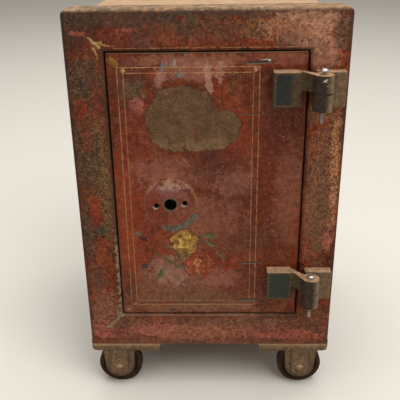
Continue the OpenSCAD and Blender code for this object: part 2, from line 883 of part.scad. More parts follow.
// Holes for the dial's spindle and for the two screws of its ring
module dial_holes() {
    rod_y([spindle_x, spindle_z], spindle_hole_d / 2, -past, lock_y + past);
    for (side = [-1, 1]) {
        at = [
            spindle_x + side * dial_screw_pitch / 2 * cos(dial_screw_tilt),
            spindle_z + side * dial_screw_pitch / 2 * sin(dial_screw_tilt)
        ];
        rod_y(at, dial_screw_d / 2, -past, fill_back);
        cone_y(at, dial_screw_d / 2 + 2, dial_screw_d / 2, door_recess, door_recess + 2);
    }
}

module door_plate() {
    color(iron) from_face() difference() {
        intersection() {
            along_z(plate_bottom, plate_top)
                polygon([
                    [-plate_half_w, door_recess], [plate_half_w, door_recess],
                    [plate_half_w, plate_back], [-plate_half_w + door_edge_slant, plate_back]
                ]);
            cast_block(
                [-plate_half_w, door_recess, plate_bottom],
                [plate_half_w, plate_back, plate_top],
                1.5, 1
            );
        }
        dial_holes();
        pad_studs(door_stud_x, -past, plate_back + past, stud_d / 2);
    }
}

// Where the inner panel is screwed on: four posts up each side, as [x, z] pairs
post_half = throat_half(panel_y, step_gap + pan_t + post_w / 2);
post_heights = [-1, -0.45, 0.45, 1];
post_places = [
    for (side = [-1, 1], up = post_heights) [side * post_half[0], opening_mid + up * post_half[1]]
];

// Places its children on the front of the inner panel at each of its screws
module at_panel_screws() {
    for (at = post_places) translate([at[0], panel_y, at[1]]) children();
}

// Posts along both sides of the pan, reaching into its walls
module posts() {
    for (at = post_places) {
        inner_x = at[0] - sign(at[0]) * post_w / 2;
        outer_x = at[0] + sign(at[0]) * 1.5 * post_w;
        box(
            [min(inner_x, outer_x), lock_y, at[1] - post_w / 2],
            [max(inner_x, outer_x), panel_y, at[1] + post_w / 2]
        );
    }
}

module door_pan() {
    color(sheet) from_face() {
        difference() {
            stepped(plate_back, panel_y, step_gap);
            stepped(plate_back - past, panel_y + past, step_gap + pan_t);
            at_bolts() rod_x([bolt_y, 0], bolt_r + fit, -throat_half_w, -room_half_w + pan_t + 10);
        }
        difference() {
            intersection() {
                stepped(lock_y, panel_y, step_gap + pan_t / 2);
                posts();
            }
            at_panel_screws() rod_y([0, 0], panel_screw_d / 2, -panel_screw_l - past, past);
        }
    }
}

module door_fill() {
    color(plaster) from_face() difference() {
        stepped(plate_back, fill_back, step_gap + pan_t);
        rod_y([spindle_x, spindle_z], spindle_hole_d / 2 + 2, plate_back - past, fill_back + past);
        pad_studs(door_stud_x, plate_back - past, plate_back + stud_head_h, stud_head_d / 2);
    }
}

module lock_plate() {
    color(rusty_iron) from_face() difference() {
        stepped(fill_back, lock_y, step_gap + pan_t);
        rod_y([spindle_x, spindle_z], spindle_hole_d / 2, fill_back - past, lock_y + past);
    }
}

module spindle_tube() {
    color(brass) from_face() difference() {
        rod_y([spindle_x, spindle_z], spindle_hole_d / 2 + 2, plate_back, fill_back);
        rod_y([spindle_x, spindle_z], spindle_hole_d / 2, plate_back - past, fill_back + past);
    }
}

// Countersunk head of one of the inner panel's screws
module panel_screw_head() {
    head_h = (panel_screw_head_d - panel_screw_d) / 2;
    cone_y([0, 0], panel_screw_d / 2, panel_screw_head_d / 2, panel_t - head_h, panel_t);
}

module inner_panel() {
    color(sheet) from_face() difference() {
        stepped(panel_y, pan_back, step_gap);
        at_panel_screws() {
            rod_y([0, 0], panel_screw_d / 2, -past, panel_t + past);
            panel_screw_head();
        }
    }
}

module panel_screws() {
    slot_w = 1.2;
    color(bare_steel) from_face() at_panel_screws() difference() {
        union() {
            rod_y([0, 0], panel_screw_d / 2, -panel_screw_l, panel_t - past);
            panel_screw_head();
        }
        translate([-panel_screw_head_d, panel_t - past, -slot_w / 2])
            cube([2 * panel_screw_head_d, 2 * past, slot_w]);
    }
}

// Blocks on the lock plate that the locking bolts slide through
module bolt_guides() {
    color(rusty_iron) from_face() at_bolts() difference() {
        box([guide_x, lock_y, -guide_h / 2], [guide_x + guide_w, bolt_y + bolt_r + 2, guide_h / 2]);
        rod_x([bolt_y, 0], bolt_r + fit, guide_x - past, guide_x + guide_w + past);
    }
}

// Corners of the lock case, where its cover is screwed on
module at_lock_screws() {
    for (x = [-1, 1], z = [lock_low + boss_in, lock_high - boss_in])
        translate([spindle_x + x * (lock_half_w - boss_in), 0, z]) children();
}

module lock_case() {
    color(brass) from_face() difference() {
        union() {
            difference() {
                box(
                    [spindle_x - lock_half_w, lock_y, lock_low],
                    [spindle_x + lock_half_w, lock_case_back, lock_high]
                );
                box(
                    [spindle_x - lock_half_w + lock_wall, lock_y + lock_wall, lock_low + lock_wall],
                    [spindle_x + lock_half_w - lock_wall, lock_case_back + past, lock_high - lock_wall]
                );
            }
            at_lock_screws() rod_y([0, 0], boss_r, lock_y + lock_wall / 2, lock_case_back);
            rod_y([spindle_x, spindle_z], post_r, lock_y, cam_y - disc_gap);
        }
        rod_y([spindle_x, spindle_z], post_bore_r, lock_y - past, cam_y + past);
        at_lock_screws()
            rod_y([0, 0], cover_screw_d / 2, lock_case_back - cover_screw_l - past, lock_case_back + past);
        box(
            [spindle_x + disc_r + 2, lever_y - disc_gap / 2, pivot_z - 2 * lever_h],
            [spindle_x + lock_half_w + past, lock_case_back + past, lock_high - boss_in - boss_r - disc_gap]
        );
    }
}

module lock_cover() {
    color(brass) from_face() difference() {
        box(
            [spindle_x - lock_half_w, lock_case_back, lock_low],
            [spindle_x + lock_half_w, lock_case_back + cover_t, lock_high]
        );
        rod_y([spindle_x, spindle_z], cam_hub_r + fit, lock_case_back - past, panel_y);
        at_lock_screws() rod_y([0, 0], cover_screw_d / 2, lock_case_back - past, panel_y);
    }
}

module lock_cover_screws() {
    color(bare_steel) from_face() at_lock_screws() {
        rod_y([0, 0], cover_screw_d / 2, lock_case_back - cover_screw_l, lock_case_back + cover_t);
        rod_y([0, 0], cover_screw_d * 0.9, lock_case_back + cover_t, panel_y - disc_gap / 10);
    }
}

// Combination wheel with its gate under the lever's fence
module combination_wheel(i) {
    y = first_disc_y + i * disc_step;
    color(brass) from_face() difference() {
        rod_y([spindle_x, spindle_z], disc_r, y, y + disc_t);
        rod_y([spindle_x, spindle_z], post_r + fit, y - past, y + disc_t + past);
        box(
            [spindle_x - gate_w / 2, y - past, spindle_z + disc_r - gate_d],
            [spindle_x + gate_w / 2, y + disc_t + past, spindle_z + disc_r + past]
        );
    }
}

// Drive cam, with its notch for the lever's nose and a hub that turns in the cover
module drive_cam() {
    notch_low = spindle_z + cam_r - 6;
    notch_high = spindle_z + cam_r + past;
    color(brass) from_face() difference() {
        union() {
            rod_y([spindle_x, spindle_z], cam_r, cam_y, cam_y + cam_t);
            rod_y([spindle_x, spindle_z], cam_hub_r, cam_y, lock_case_back + cover_t);
        }
        rod_y([spindle_x, spindle_z], post_bore_r - 1, cam_y - past, panel_y);
        along_y(cam_y - past, cam_y + cam_t + past)
            polygon([
                [spindle_x - 4, notch_low], [spindle_x + 4, notch_low],
                [spindle_x + 5, notch_high], [spindle_x - 9, notch_high]
            ]);
    }
}

module bolt_bar() {
    color(bare_steel) from_face() difference() {
        along_y(bar_y, bar_y + bar_t)
            round_shape(
                [bar_x, bolt_zs[0] - bar_end], [bar_x + bar_w, bolt_zs[1] + bar_end], 3
            );
        at_bolts() rod_x([bolt_y, 0], tenon_d / 2, bar_x - past, bar_x + bar_w + past);
        rod_y([pivot_x, pivot_z], pivot_d / 2, bar_y - past, bar_y + bar_t + past);
    }
}

module locking_bolts() {
    color(bare_steel) from_face() at_bolts() {
        rod_x([bolt_y, 0], bolt_r, bolt_tip_x, bar_x);
        rod_x([bolt_y, 0], tenon_d / 2, bar_x, bar_x + bar_w);
    }
}

// Lever with the fence over the combination wheels and the nose over the drive cam
module fence_lever() {
    arm_low = spindle_z + disc_r + fence_gap;
    color(bare_steel) from_face() difference() {
        union() {
            along_y(lever_y, lever_y + lever_t) {
                polygon([
                    [spindle_x - 5, arm_low], [spindle_x - 5, arm_low + lever_h * 0.8],
                    [pivot_x, pivot_z + lever_h / 2], [pivot_x, pivot_z - lever_h / 2],
                    [spindle_x + disc_r, arm_low]
                ]);
                translate([pivot_x, pivot_z]) circle(lever_h / 2 + 1);
                translate([spindle_x - 2, spindle_z + cam_r + fence_gap])
                    square([4, disc_r - cam_r + 1]);
            }
            box(
                [spindle_x - fence_w / 2, first_disc_y, arm_low],
                [spindle_x + fence_w / 2, lever_y + lever_t, arm_low + lever_h / 2]
            );
        }
        rod_y([pivot_x, pivot_z], pivot_d / 2 + fit, lever_y - past, lever_y + lever_t + past);
    }
}

module lever_screw() {
    color(bare_steel) from_face() {
        rod_y([pivot_x, pivot_z], pivot_d / 2, bar_y, lever_y + lever_t + 0.4);
        rod_y([pivot_x, pivot_z], pivot_d / 2 + 2, lever_y + lever_t + 0.4, lever_y + lever_t + 2.4);
    }
}

front_frame();
back_frame();
back_plate();
outer_shell();
insulation_fill();
inner_liner();
tie_rods();
tie_rod_nuts();
cabinet_bottom();
cabinet_top();
cabinet_side(-cabinet_x);  // cabinet_left
cabinet_side(cabinet_x - board_t);  // cabinet_right
cabinet_back();
cabinet_shelf();
cabinet_divider();
frame_leaf(upper_hinge_z);  // frame_hinge_upper
frame_leaf(lower_hinge_z);  // frame_hinge_lower
frame_hinge_studs();
hinge_pin(upper_hinge_z, upper_pin_up);  // hinge_pin_upper
hinge_pin(lower_hinge_z, 0);  // hinge_pin_lower
wheel_axles();
front_wheel(-wheel_x);  // wheel_front_left
front_wheel(wheel_x);  // wheel_front_right
back_wheel(-wheel_x);  // wheel_back_left
back_wheel(wheel_x);  // wheel_back_right
door_plate();
door_pan();
door_fill();
lock_plate();
spindle_tube();
inner_panel();
panel_screws();
door_leaf(upper_hinge_z);  // door_hinge_upper
door_leaf(lower_hinge_z);  // door_hinge_lower
door_hinge_studs();
bolt_guides();
lock_case();
lock_cover();
lock_cover_screws();
combination_wheel(0);  // combination_wheel_1
combination_wheel(1);  // combination_wheel_2
combination_wheel(2);  // combination_wheel_3
drive_cam();
bolt_bar();
locking_bolts();
fence_lever();
lever_screw();
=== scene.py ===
import math

import bmesh
import bpy
from mathutils import Matrix, Vector


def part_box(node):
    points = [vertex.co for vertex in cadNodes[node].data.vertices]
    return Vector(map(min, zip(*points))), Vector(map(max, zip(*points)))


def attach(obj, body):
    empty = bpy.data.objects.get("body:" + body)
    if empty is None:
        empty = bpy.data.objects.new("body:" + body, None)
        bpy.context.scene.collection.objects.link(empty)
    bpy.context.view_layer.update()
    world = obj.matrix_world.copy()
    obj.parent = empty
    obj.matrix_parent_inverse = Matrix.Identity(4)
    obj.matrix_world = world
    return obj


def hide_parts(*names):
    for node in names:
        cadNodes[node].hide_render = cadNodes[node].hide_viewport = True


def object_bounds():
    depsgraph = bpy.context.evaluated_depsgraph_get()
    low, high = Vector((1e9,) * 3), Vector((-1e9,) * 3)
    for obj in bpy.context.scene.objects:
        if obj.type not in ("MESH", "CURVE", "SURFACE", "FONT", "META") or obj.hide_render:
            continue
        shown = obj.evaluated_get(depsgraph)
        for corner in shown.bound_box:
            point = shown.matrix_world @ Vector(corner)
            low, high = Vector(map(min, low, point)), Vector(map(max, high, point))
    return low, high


# Small cast iron floor safe: worn enamel, painted lines and flowers, strap hinges.
# Metres, x to the right, y away from the viewer, z up. Paint is laid out in millimetres
# right of the middle and above the castings' bottom edge.

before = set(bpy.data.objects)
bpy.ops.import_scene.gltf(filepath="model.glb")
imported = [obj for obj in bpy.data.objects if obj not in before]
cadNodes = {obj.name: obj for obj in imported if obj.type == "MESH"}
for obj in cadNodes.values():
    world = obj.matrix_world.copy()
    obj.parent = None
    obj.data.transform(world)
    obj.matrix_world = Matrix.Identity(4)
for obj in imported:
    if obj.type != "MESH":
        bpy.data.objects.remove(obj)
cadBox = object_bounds()
liftOfCastings = 64.0  # millimetres from the floor to the lower edge of the castings
print("frame loaded,", len(cadNodes), "nodes")


# Node trees: a Wire is a value in the tree that is being drawn, and sums with it become nodes

drawing = {"tree": None}


class Wire:
    def __init__(self, socket):
        self.socket = socket

    def __add__(self, other):
        return calc("ADD", self, other)

    def __sub__(self, other):
        return calc("SUBTRACT", self, other)

    def __rsub__(self, other):
        return calc("SUBTRACT", other, self)

    def __mul__(self, other):
        return calc("MULTIPLY", self, other)

    def __truediv__(self, other):
        return calc("DIVIDE", self, other)

    def __rtruediv__(self, other):
        return calc("DIVIDE", other, self)

    def __abs__(self):
        return calc("ABSOLUTE", self)


class Outputs:  # what a node gives, by name or number
    def __init__(self, node):
        self.sockets = node.outputs

    def __getitem__(self, key):
        return Wire(self.sockets[key])


def feed(socket, value):
    if isinstance(value, Wire):
        drawing["tree"].links.new(value.socket, socket)
    elif value is not None:
        socket.default_value = value


def addNode(kind, inputs=None, **settings):
    node = drawing["tree"].nodes.new("ShaderNode" + kind)
    for name, value in settings.items():
        setattr(node, name, value)
    for name, value in (inputs or {}).items():
        feed(node.inputs[name], value)
    return Outputs(node)


def calc(operation, *values):
    return addNode("Math", dict(enumerate(values)), operation=operation)[0]


def rise(value, low, high):  # from 0 at low to 1 at high
    inputs = {"Value": value, "From Min": low, "From Max": high}
    return addNode("MapRange", inputs, interpolation_type="SMOOTHSTEP")[0]


def paint(tone):  # a colour from its screen value; a colour in the tree stays as it is
    if not isinstance(tone, str):
        return tone
    parts = [int(tone[i:i + 2], 16) / 255 for i in (0, 2, 4)]
    return [*(p / 12.92 if p <= 0.04045 else ((p + 0.055) / 1.055) ** 2.4 for p in parts), 1]


def overlay(factor, below, above):
    return addNode("Mix", {0: factor, 6: paint(below), 7: paint(above)}, data_type="RGBA")[2]


# Multiplies a colour by a pattern that runs between two factors
def shade(colour, pattern, low, high):
    inputs = {"Value": pattern, "From Min": 0.35, "From Max": 0.65, "To Min": low, "To Max": high}
    factor = addNode("MapRange", inputs)[0]
    grey = addNode("CombineColor", dict.fromkeys(("Red", "Green", "Blue"), factor))[0]
    return addNode("Mix", {0: 1.0, 6: paint(colour), 7: grey}, data_type="RGBA", blend_type="MULTIPLY")[2]


def contour(pattern, width):  # thin winding lines where a pattern passes its middle
    return rise(abs(pattern - 0.5), width, width / 4)


def noiseAt(vector, size, detail=3.0, roughness=0.5, stretch=None):
    if stretch:
        vector = addNode("Mapping", {"Vector": vector, "Scale": stretch})[0]
    inputs = {"Vector": vector, "Scale": 1 / size, "Detail": detail, "Roughness": roughness}
    return addNode("TexNoise", inputs)[0]


def partsOf(vector):
    return addNode("SeparateXYZ", {"Vector": vector})


def squared(value):
    return value * value


def distance(across, up):
    return calc("SQRT", squared(across) + squared(up))


def makeGroup(name, inputs, outputs):  # inputs are numbers, or None for a vector; outputs are numbers
    tree = bpy.data.node_groups.new(name, "ShaderNodeTree")
    for label, value in inputs.items():
        kind = "Vector" if value is None else "Float"
        socket = tree.interface.new_socket(label, in_out="INPUT", socket_type="NodeSocket" + kind)
        if value is not None:
            socket.default_value = value
    for label in outputs:
        tree.interface.new_socket(label, in_out="OUTPUT", socket_type="NodeSocketFloat")
    drawing["tree"] = tree
    return tree, Outputs(tree.nodes.new("NodeGroupInput")), tree.nodes.new("NodeGroupOutput").inputs


def use(group, output, **inputs):
    return addNode("Group", inputs, node_tree=group)[output]


# Shared effects, each built once and placed in the materials that need it

def makeFlatPlace():  # where a point lies on the front, with ragged edges if it wavers
    tree, given, out = makeGroup(
        "flatPlace", {"Vector": None, "Lift": liftOfCastings, "Waver": 0.0, "WaverSize": 8.0}, ["X", "Z"])
    inputs = {"Vector": given["Vector"], "Scale": 1 / given["WaverSize"], "Detail": 4.0}
    waves = addNode("SeparateColor", {"Color": addNode("TexNoise", inputs)["Color"]})
    parts = partsOf(given["Vector"])
    feed(out["X"], (waves["Red"] - 0.5) * given["Waver"] + parts["X"])
    feed(out["Z"], (waves["Blue"] - 0.5) * given["Waver"] + (parts["Z"] - given["Lift"]))
    return tree


def turnedParts(given):  # distances along and across a shape that is moved and turned to its place
    dx = given["X"] - given["AtX"]
    dz = given["Z"] - given["AtZ"]
    turn = calc("RADIANS", given["Turn"])
    cosine = calc("COSINE", turn)
    sine = calc("SINE", turn)
    return dx * cosine + dz * sine, dz * cosine - dx * sine


def placed(**others):
    return {"X": 0.0, "Z": 0.0, "AtX": 0.0, "AtZ": 0.0, "Turn": 0.0, **others}


def makeTintPatch():  # soft oval patch
    tree, given, out = makeGroup("tintPatch", placed(Width=10.0, Height=10.0, Soft=0.5), ["Mask"])
    along, across = turnedParts(given)
    away = distance(along / given["Width"], across / given["Height"])
    feed(out["Mask"], rise(away, given["Soft"] + 1.0, 1.0 - given["Soft"]))
    return tree


def makeLeafShape():  # pointed oval; Inside is positive within it, in millimetres
    tree, given, out = makeGroup("leafShape", placed(Reach=5.0, Width=2.0), ["Inside", "Across"])
    along, across = turnedParts(given)
    taper = 1.0 - squared(along / given["Reach"])
    feed(out["Inside"], taper * given["Width"] - abs(across))
    feed(out["Across"], across / given["Width"])
    return tree


def makeFlowerShape():  # ring of petals; Fold runs from 0 between petals to 1 on their middles
    sizes = placed(Radius=10.0, Petals=5.0, Notch=0.3)
    tree, given, out = makeGroup("flowerShape", sizes, ["Inside", "Fold"])
    along, across = turnedParts(given)
    fold = calc("COSINE", calc("ARCTAN2", across, along) * given["Petals"]) * 0.5 + 0.5
    dip = (1.0 - fold) * given["Notch"]
    feed(out["Inside"], given["Radius"] * (1.0 - dip) - distance(along, across))
    feed(out["Fold"], fold)
    return tree


def makeRuledBox():  # distance from a rectangle's outline
    tree, given, out = makeGroup("ruledBox", placed(Width=10.0, Height=10.0), ["Distance"])
    along, across = turnedParts(given)
    beyond = calc("MAXIMUM", abs(along) - given["Width"], abs(across) - given["Height"])
    feed(out["Distance"], abs(beyond))
    return tree


def makeSpeckle():  # grains of one size that cover a share of the surface
    tree, given, out = makeGroup(
        "speckle", {"Vector": None, "Size": 2.0, "Amount": 0.5, "Soft": 0.06, "Detail": 3.0}, ["Mask"])
    noise = noiseAt(given["Vector"], given["Size"], given["Detail"], 0.6)
    middle = given["Amount"] * -0.5 + 0.75
    feed(out["Mask"], rise(noise, middle - given["Soft"], middle + given["Soft"]))
    return tree


def makeRubbedEdge():  # outer edges where paint has gone
    tree, given, out = makeGroup(
        "rubbedEdge", {"Vector": None, "Radius": 0.0015, "Reach": 0.5, "Size": 6.0}, ["Mask"])
    rounded = addNode("Bevel", {"Radius": given["Radius"]}, samples=4)[0]
    true = addNode("NewGeometry")["Normal"]
    facing = addNode("VectorMath", {0: rounded, 1: true}, operation="DOT_PRODUCT")["Value"]
    wear = (1.0 - facing) * noiseAt(given["Vector"], given["Size"], 4.0) * given["Reach"]
    feed(out["Mask"], rise(wear, 0.01, 0.05))
    return tree


def makeSettledDust():  # dust on everything that faces up
    tree, given, out = makeGroup("settledDust", {"Vector": None, "Amount": 0.8, "Size": 20.0}, ["Mask"])
    up = rise(partsOf(addNode("NewGeometry")["Normal"])["Z"], 0.25, 0.85)
    cloud = noiseAt(given["Vector"], given["Size"], 5.0) * 0.7 + 0.6
    feed(out["Mask"], up * cloud * given["Amount"])
    return tree


def makeCastSkin():  # sand-cast iron: fine grain over slow waves, in millimetres
    tree, given, out = makeGroup("castSkin", {"Vector": None, "Grain": 1.5, "Depth": 0.1}, ["Height"])
    fine = noiseAt(given["Vector"], given["Grain"], 4.0)
    slow = noiseAt(given["Vector"], 1 / 0.06, 2.0)
    feed(out["Height"], (fine + slow * 4.0) * given["Depth"])
    return tree


def stretched(given):
    return addNode("VectorMath", {0: given["Vector"], 1: given["Stretch"]}, operation="MULTIPLY")[0]


def makeDrawnSteel():  # streaks along X, Y or Z, as left by drawing and filing
    tree, given, out = makeGroup("drawnSteel", {"Vector": None, "Stretch": None}, ["Streak"])
    feed(out["Streak"], noiseAt(stretched(given), 1.0, 4.0, 0.7))
    return tree


def makeWoodGrain():  # long bands with fine pores; the board runs along Y or Z
    tree, given, out = makeGroup("woodGrain", {"Vector": None, "Stretch": None}, ["Band", "Pore"])
    place = stretched(given)
    inputs = {"Vector": place, "Scale": 0.09, "Distortion": 5.0, "Detail": 3.0, "Detail Scale": 1.5}
    feed(out["Band"], addNode("TexWave", inputs, bands_direction="DIAGONAL")["Fac"])
    feed(out["Pore"], rise(noiseAt(place, 0.625), 0.56, 0.66))
    return tree


flatPlace = makeFlatPlace()
tintPatch = makeTintPatch()
leafShape = makeLeafShape()
flowerShape = makeFlowerShape()
ruledBox = makeRuledBox()
speckle = makeSpeckle()
rubbedEdge = makeRubbedEdge()
settledDust = makeSettledDust()
castSkin = makeCastSkin()
drawnSteel = makeDrawnSteel()
woodGrain = makeWoodGrain()
print("shared effects built")


# Materials

def startMaterial(name):
    material = bpy.data.materials.new(name)
    material.use_nodes = True
    drawing["tree"] = material.node_tree
    inputs = {"Vector": addNode("TexCoord")["Object"], "Scale": 1000.0}  # millimetres
    return material, addNode("VectorMath", inputs, operation="SCALE")[0]


def finishMaterial(material, colour, rough, height=None, bump=0.6, metallic=0.0, shine=0.16):
    bsdf = material.node_tree.nodes["Principled BSDF"]
    feed(bsdf.inputs["Base Color"], colour)
    feed(bsdf.inputs["Roughness"], rough)
    feed(bsdf.inputs["Metallic"], metallic)
    bsdf.inputs["Specular IOR Level"].default_value = shine
    if height is not None:
        inputs = {"Strength": bump, "Distance": 0.001, "Height": height}
        feed(bsdf.inputs["Normal"], addNode("Bump", inputs)[0])
    return material


# Right and up on the front, in millimetres, wavering so that outlines come out ragged
def flatParts(place, waver, size):
    node = addNode("Group", {"Vector": place, "Waver": waver, "WaverSize": size}, node_tree=flatPlace)
    return node["X"], node["Z"]


def shapeAt(group, flat, x, z, turn, **sizes):
    inputs = {"X": flat[0], "Z": flat[1], "AtX": x, "AtZ": z, "Turn": turn, **sizes}
    return addNode("Group", inputs, node_tree=group)


def oval(flat, x, z, width, height, turn=0.0, soft=0.5):
    return shapeAt(tintPatch, flat, x, z, turn, Width=width, Height=height, Soft=soft)["Mask"]


def leaf(flat, x, z, reach, width, turn=0.0, soft=0.3):
    shape = shapeAt(leafShape, flat, x, z, turn, Reach=reach, Width=width)
    return rise(shape["Inside"], -soft, soft), shape["Across"]


def fromBox(flat, x, z, width, height):
    return shapeAt(ruledBox, flat, x, z, 0.0, Width=width, Height=height)["Distance"]


def flatBox(node):  # middle and half size of a node, as the paint is laid out
    low, high = (corner * 1000 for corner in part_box(node))
    middle = (low + high) / 2
    return middle.x, middle.z - liftOfCastings, high.x - middle.x, high.z - middle.z


def union(*masks):
    total = masks[0]
    for mask in masks[1:]:
        total = calc("MAXIMUM", total, mask)
    return total


def specks(place, size, amount, soft, detail=3.0):
    return use(speckle, "Mask", Vector=place, Size=size, Amount=amount, Soft=soft, Detail=detail)


def rubbing(place, radius, reach, size):
    return use(rubbedEdge, "Mask", Vector=place, Radius=radius, Reach=reach, Size=size)


def castGrain(place, grain, depth):
    return use(castSkin, "Height", Vector=place, Grain=grain, Depth=depth)


def dustOn(place, amount, size):
    return use(settledDust, "Mask", Vector=place, Amount=amount, Size=size)


# Lays coats over a colour, each where its mask is
def coated(colour, *coats):
    for mask, tone in coats:
        colour = overlay(mask, colour, tone)
    return colour


# Tones, shares and the sizes of the patterns, in millimetres
enamelLook = {
    "deep": "4c1f0b", "red": "6e2c10", "haze": "7a482c", "grime": "362414", "light": "8e4826",
    "speck": "24160c", "fleck": "a47c56", "scratch": "956848", "bareIron": "43372a", "dust": "a58562",
    "hollow": 0.38, "raised": 1.64, "pepper": 0.5, "scratched": 0.5,
    "broadSize": 60.0, "hazeSize": 28.0, "flakeSize": 11.0, "mottleSize": 4.6, "grainSize": 1.7,
}


# Red-brown enamel under haze and grime; returns its colour and the patterns of its wear
def enamelBase(place, look):
    broad = rise(noiseAt(place, look["broadSize"], 6.0, 0.6), 0.42, 0.58)
    haze = rise(noiseAt(place, look["hazeSize"], 9.0, 0.68), 0.50, 0.62)
    flake = noiseAt(place, look["flakeSize"], 9.0, 0.72)
    mottle = noiseAt(place, look["mottleSize"], 6.0, 0.75)
    grain = noiseAt(place, look["grainSize"], 4.0, 0.7)
    colour = coated(
        overlay(broad, look["deep"], look["red"]), (haze * 0.5, look["haze"]),
        (rise(flake, 0.53, 0.61) * 0.6, look["grime"]), (rise(flake, 0.45, 0.39) * 0.4, look["light"]))
    return colour, flake, mottle, grain


# Mottle, dark specks and fine winding scratches over everything that is painted
def weathered(colour, place, flake, mottle, grain, look):
    colour = shade(shade(colour, mottle, look["hollow"], look["raised"]), grain, 0.78, 1.24)
    line = contour(noiseAt(place, 17.0, 7.0, 0.62), 0.006)
    line = line * rise(mottle, 0.48, 0.58) * rise(flake, 0.56, 0.44)
    return coated(
        colour, (rise(grain, 0.57, 0.66) * look["pepper"], look["speck"]),
        (line * look["scratched"], look["scratch"]), (specks(place, 2.4, 0.16, 0.02) * 0.55, look["fleck"]))


def granular(grain, dark, light):  # coarse rust: dark and light grains side by side
    return overlay(rise(grain, 0.4, 0.6), dark, light)


# How far a pattern moves a mask's outline; never enough to show where there is no mask
def tearing(pattern, strength, soft):
    return calc("MINIMUM", (pattern - 0.5) * strength, 0.5 - soft)


# Breaks up a soft mask along a pattern, so that it ends in islands and tongues
def roughened(mask, pattern, strength, soft=0.08):
    return rise(mask + tearing(pattern, strength, soft), 0.5 - soft, 0.5 + soft)


# How each kind of patch ends: softness of its outline, and how far and by what it is torn
patchKinds = {"ragged": (0.12, 5.2, "mottle"), "grains": (0.216, 5.0, "grain")}


# Lays patches over the enamel: tone, strength, kind, x, z, half width, half height and, if any, turn
def layPatches(colour, flat, flake, mottle, grain, patches):
    patterns = {"mottle": mottle * 0.5 + flake * 0.5, "grain": grain * 0.45 + flake * 0.55}
    torn = {kind: tearing(patterns[by], far, soft) for kind, (soft, far, by) in patchKinds.items()}
    for tone, strength, kind, *shape in patches:
        mask = oval(flat, *shape, soft=0.7)
        if kind in torn:
            soft = patchKinds[kind][0]
            mask = rise(mask * 0.9 + torn[kind], 0.5 - soft, 0.5 + soft)
        above = granular(grain, *tone) if isinstance(tone, tuple) else tone
        colour = overlay(mask * strength, colour, above)
    return colour


def dusted(colour, place, tone, amount, size):
    return overlay(dustOn(place, amount, size), colour, tone)


# Painted leaves: x, z, turn, half length, half width, tone
def layLeaves(colour, flat, kept, pattern, leaves, shadeTone):
    for x, z, turn, reach, width, tone in leaves:
        mask, across = leaf(flat, x, z, reach, width, turn)
        shaded = overlay(rise(across, -0.2, 0.9), tone, shadeTone)
        colour = overlay(mask * kept, colour, shade(shaded, pattern, 0.7, 1.3))
    return colour


olive = ("261a12", "5c4531")
golden = ("38271a", "745736")

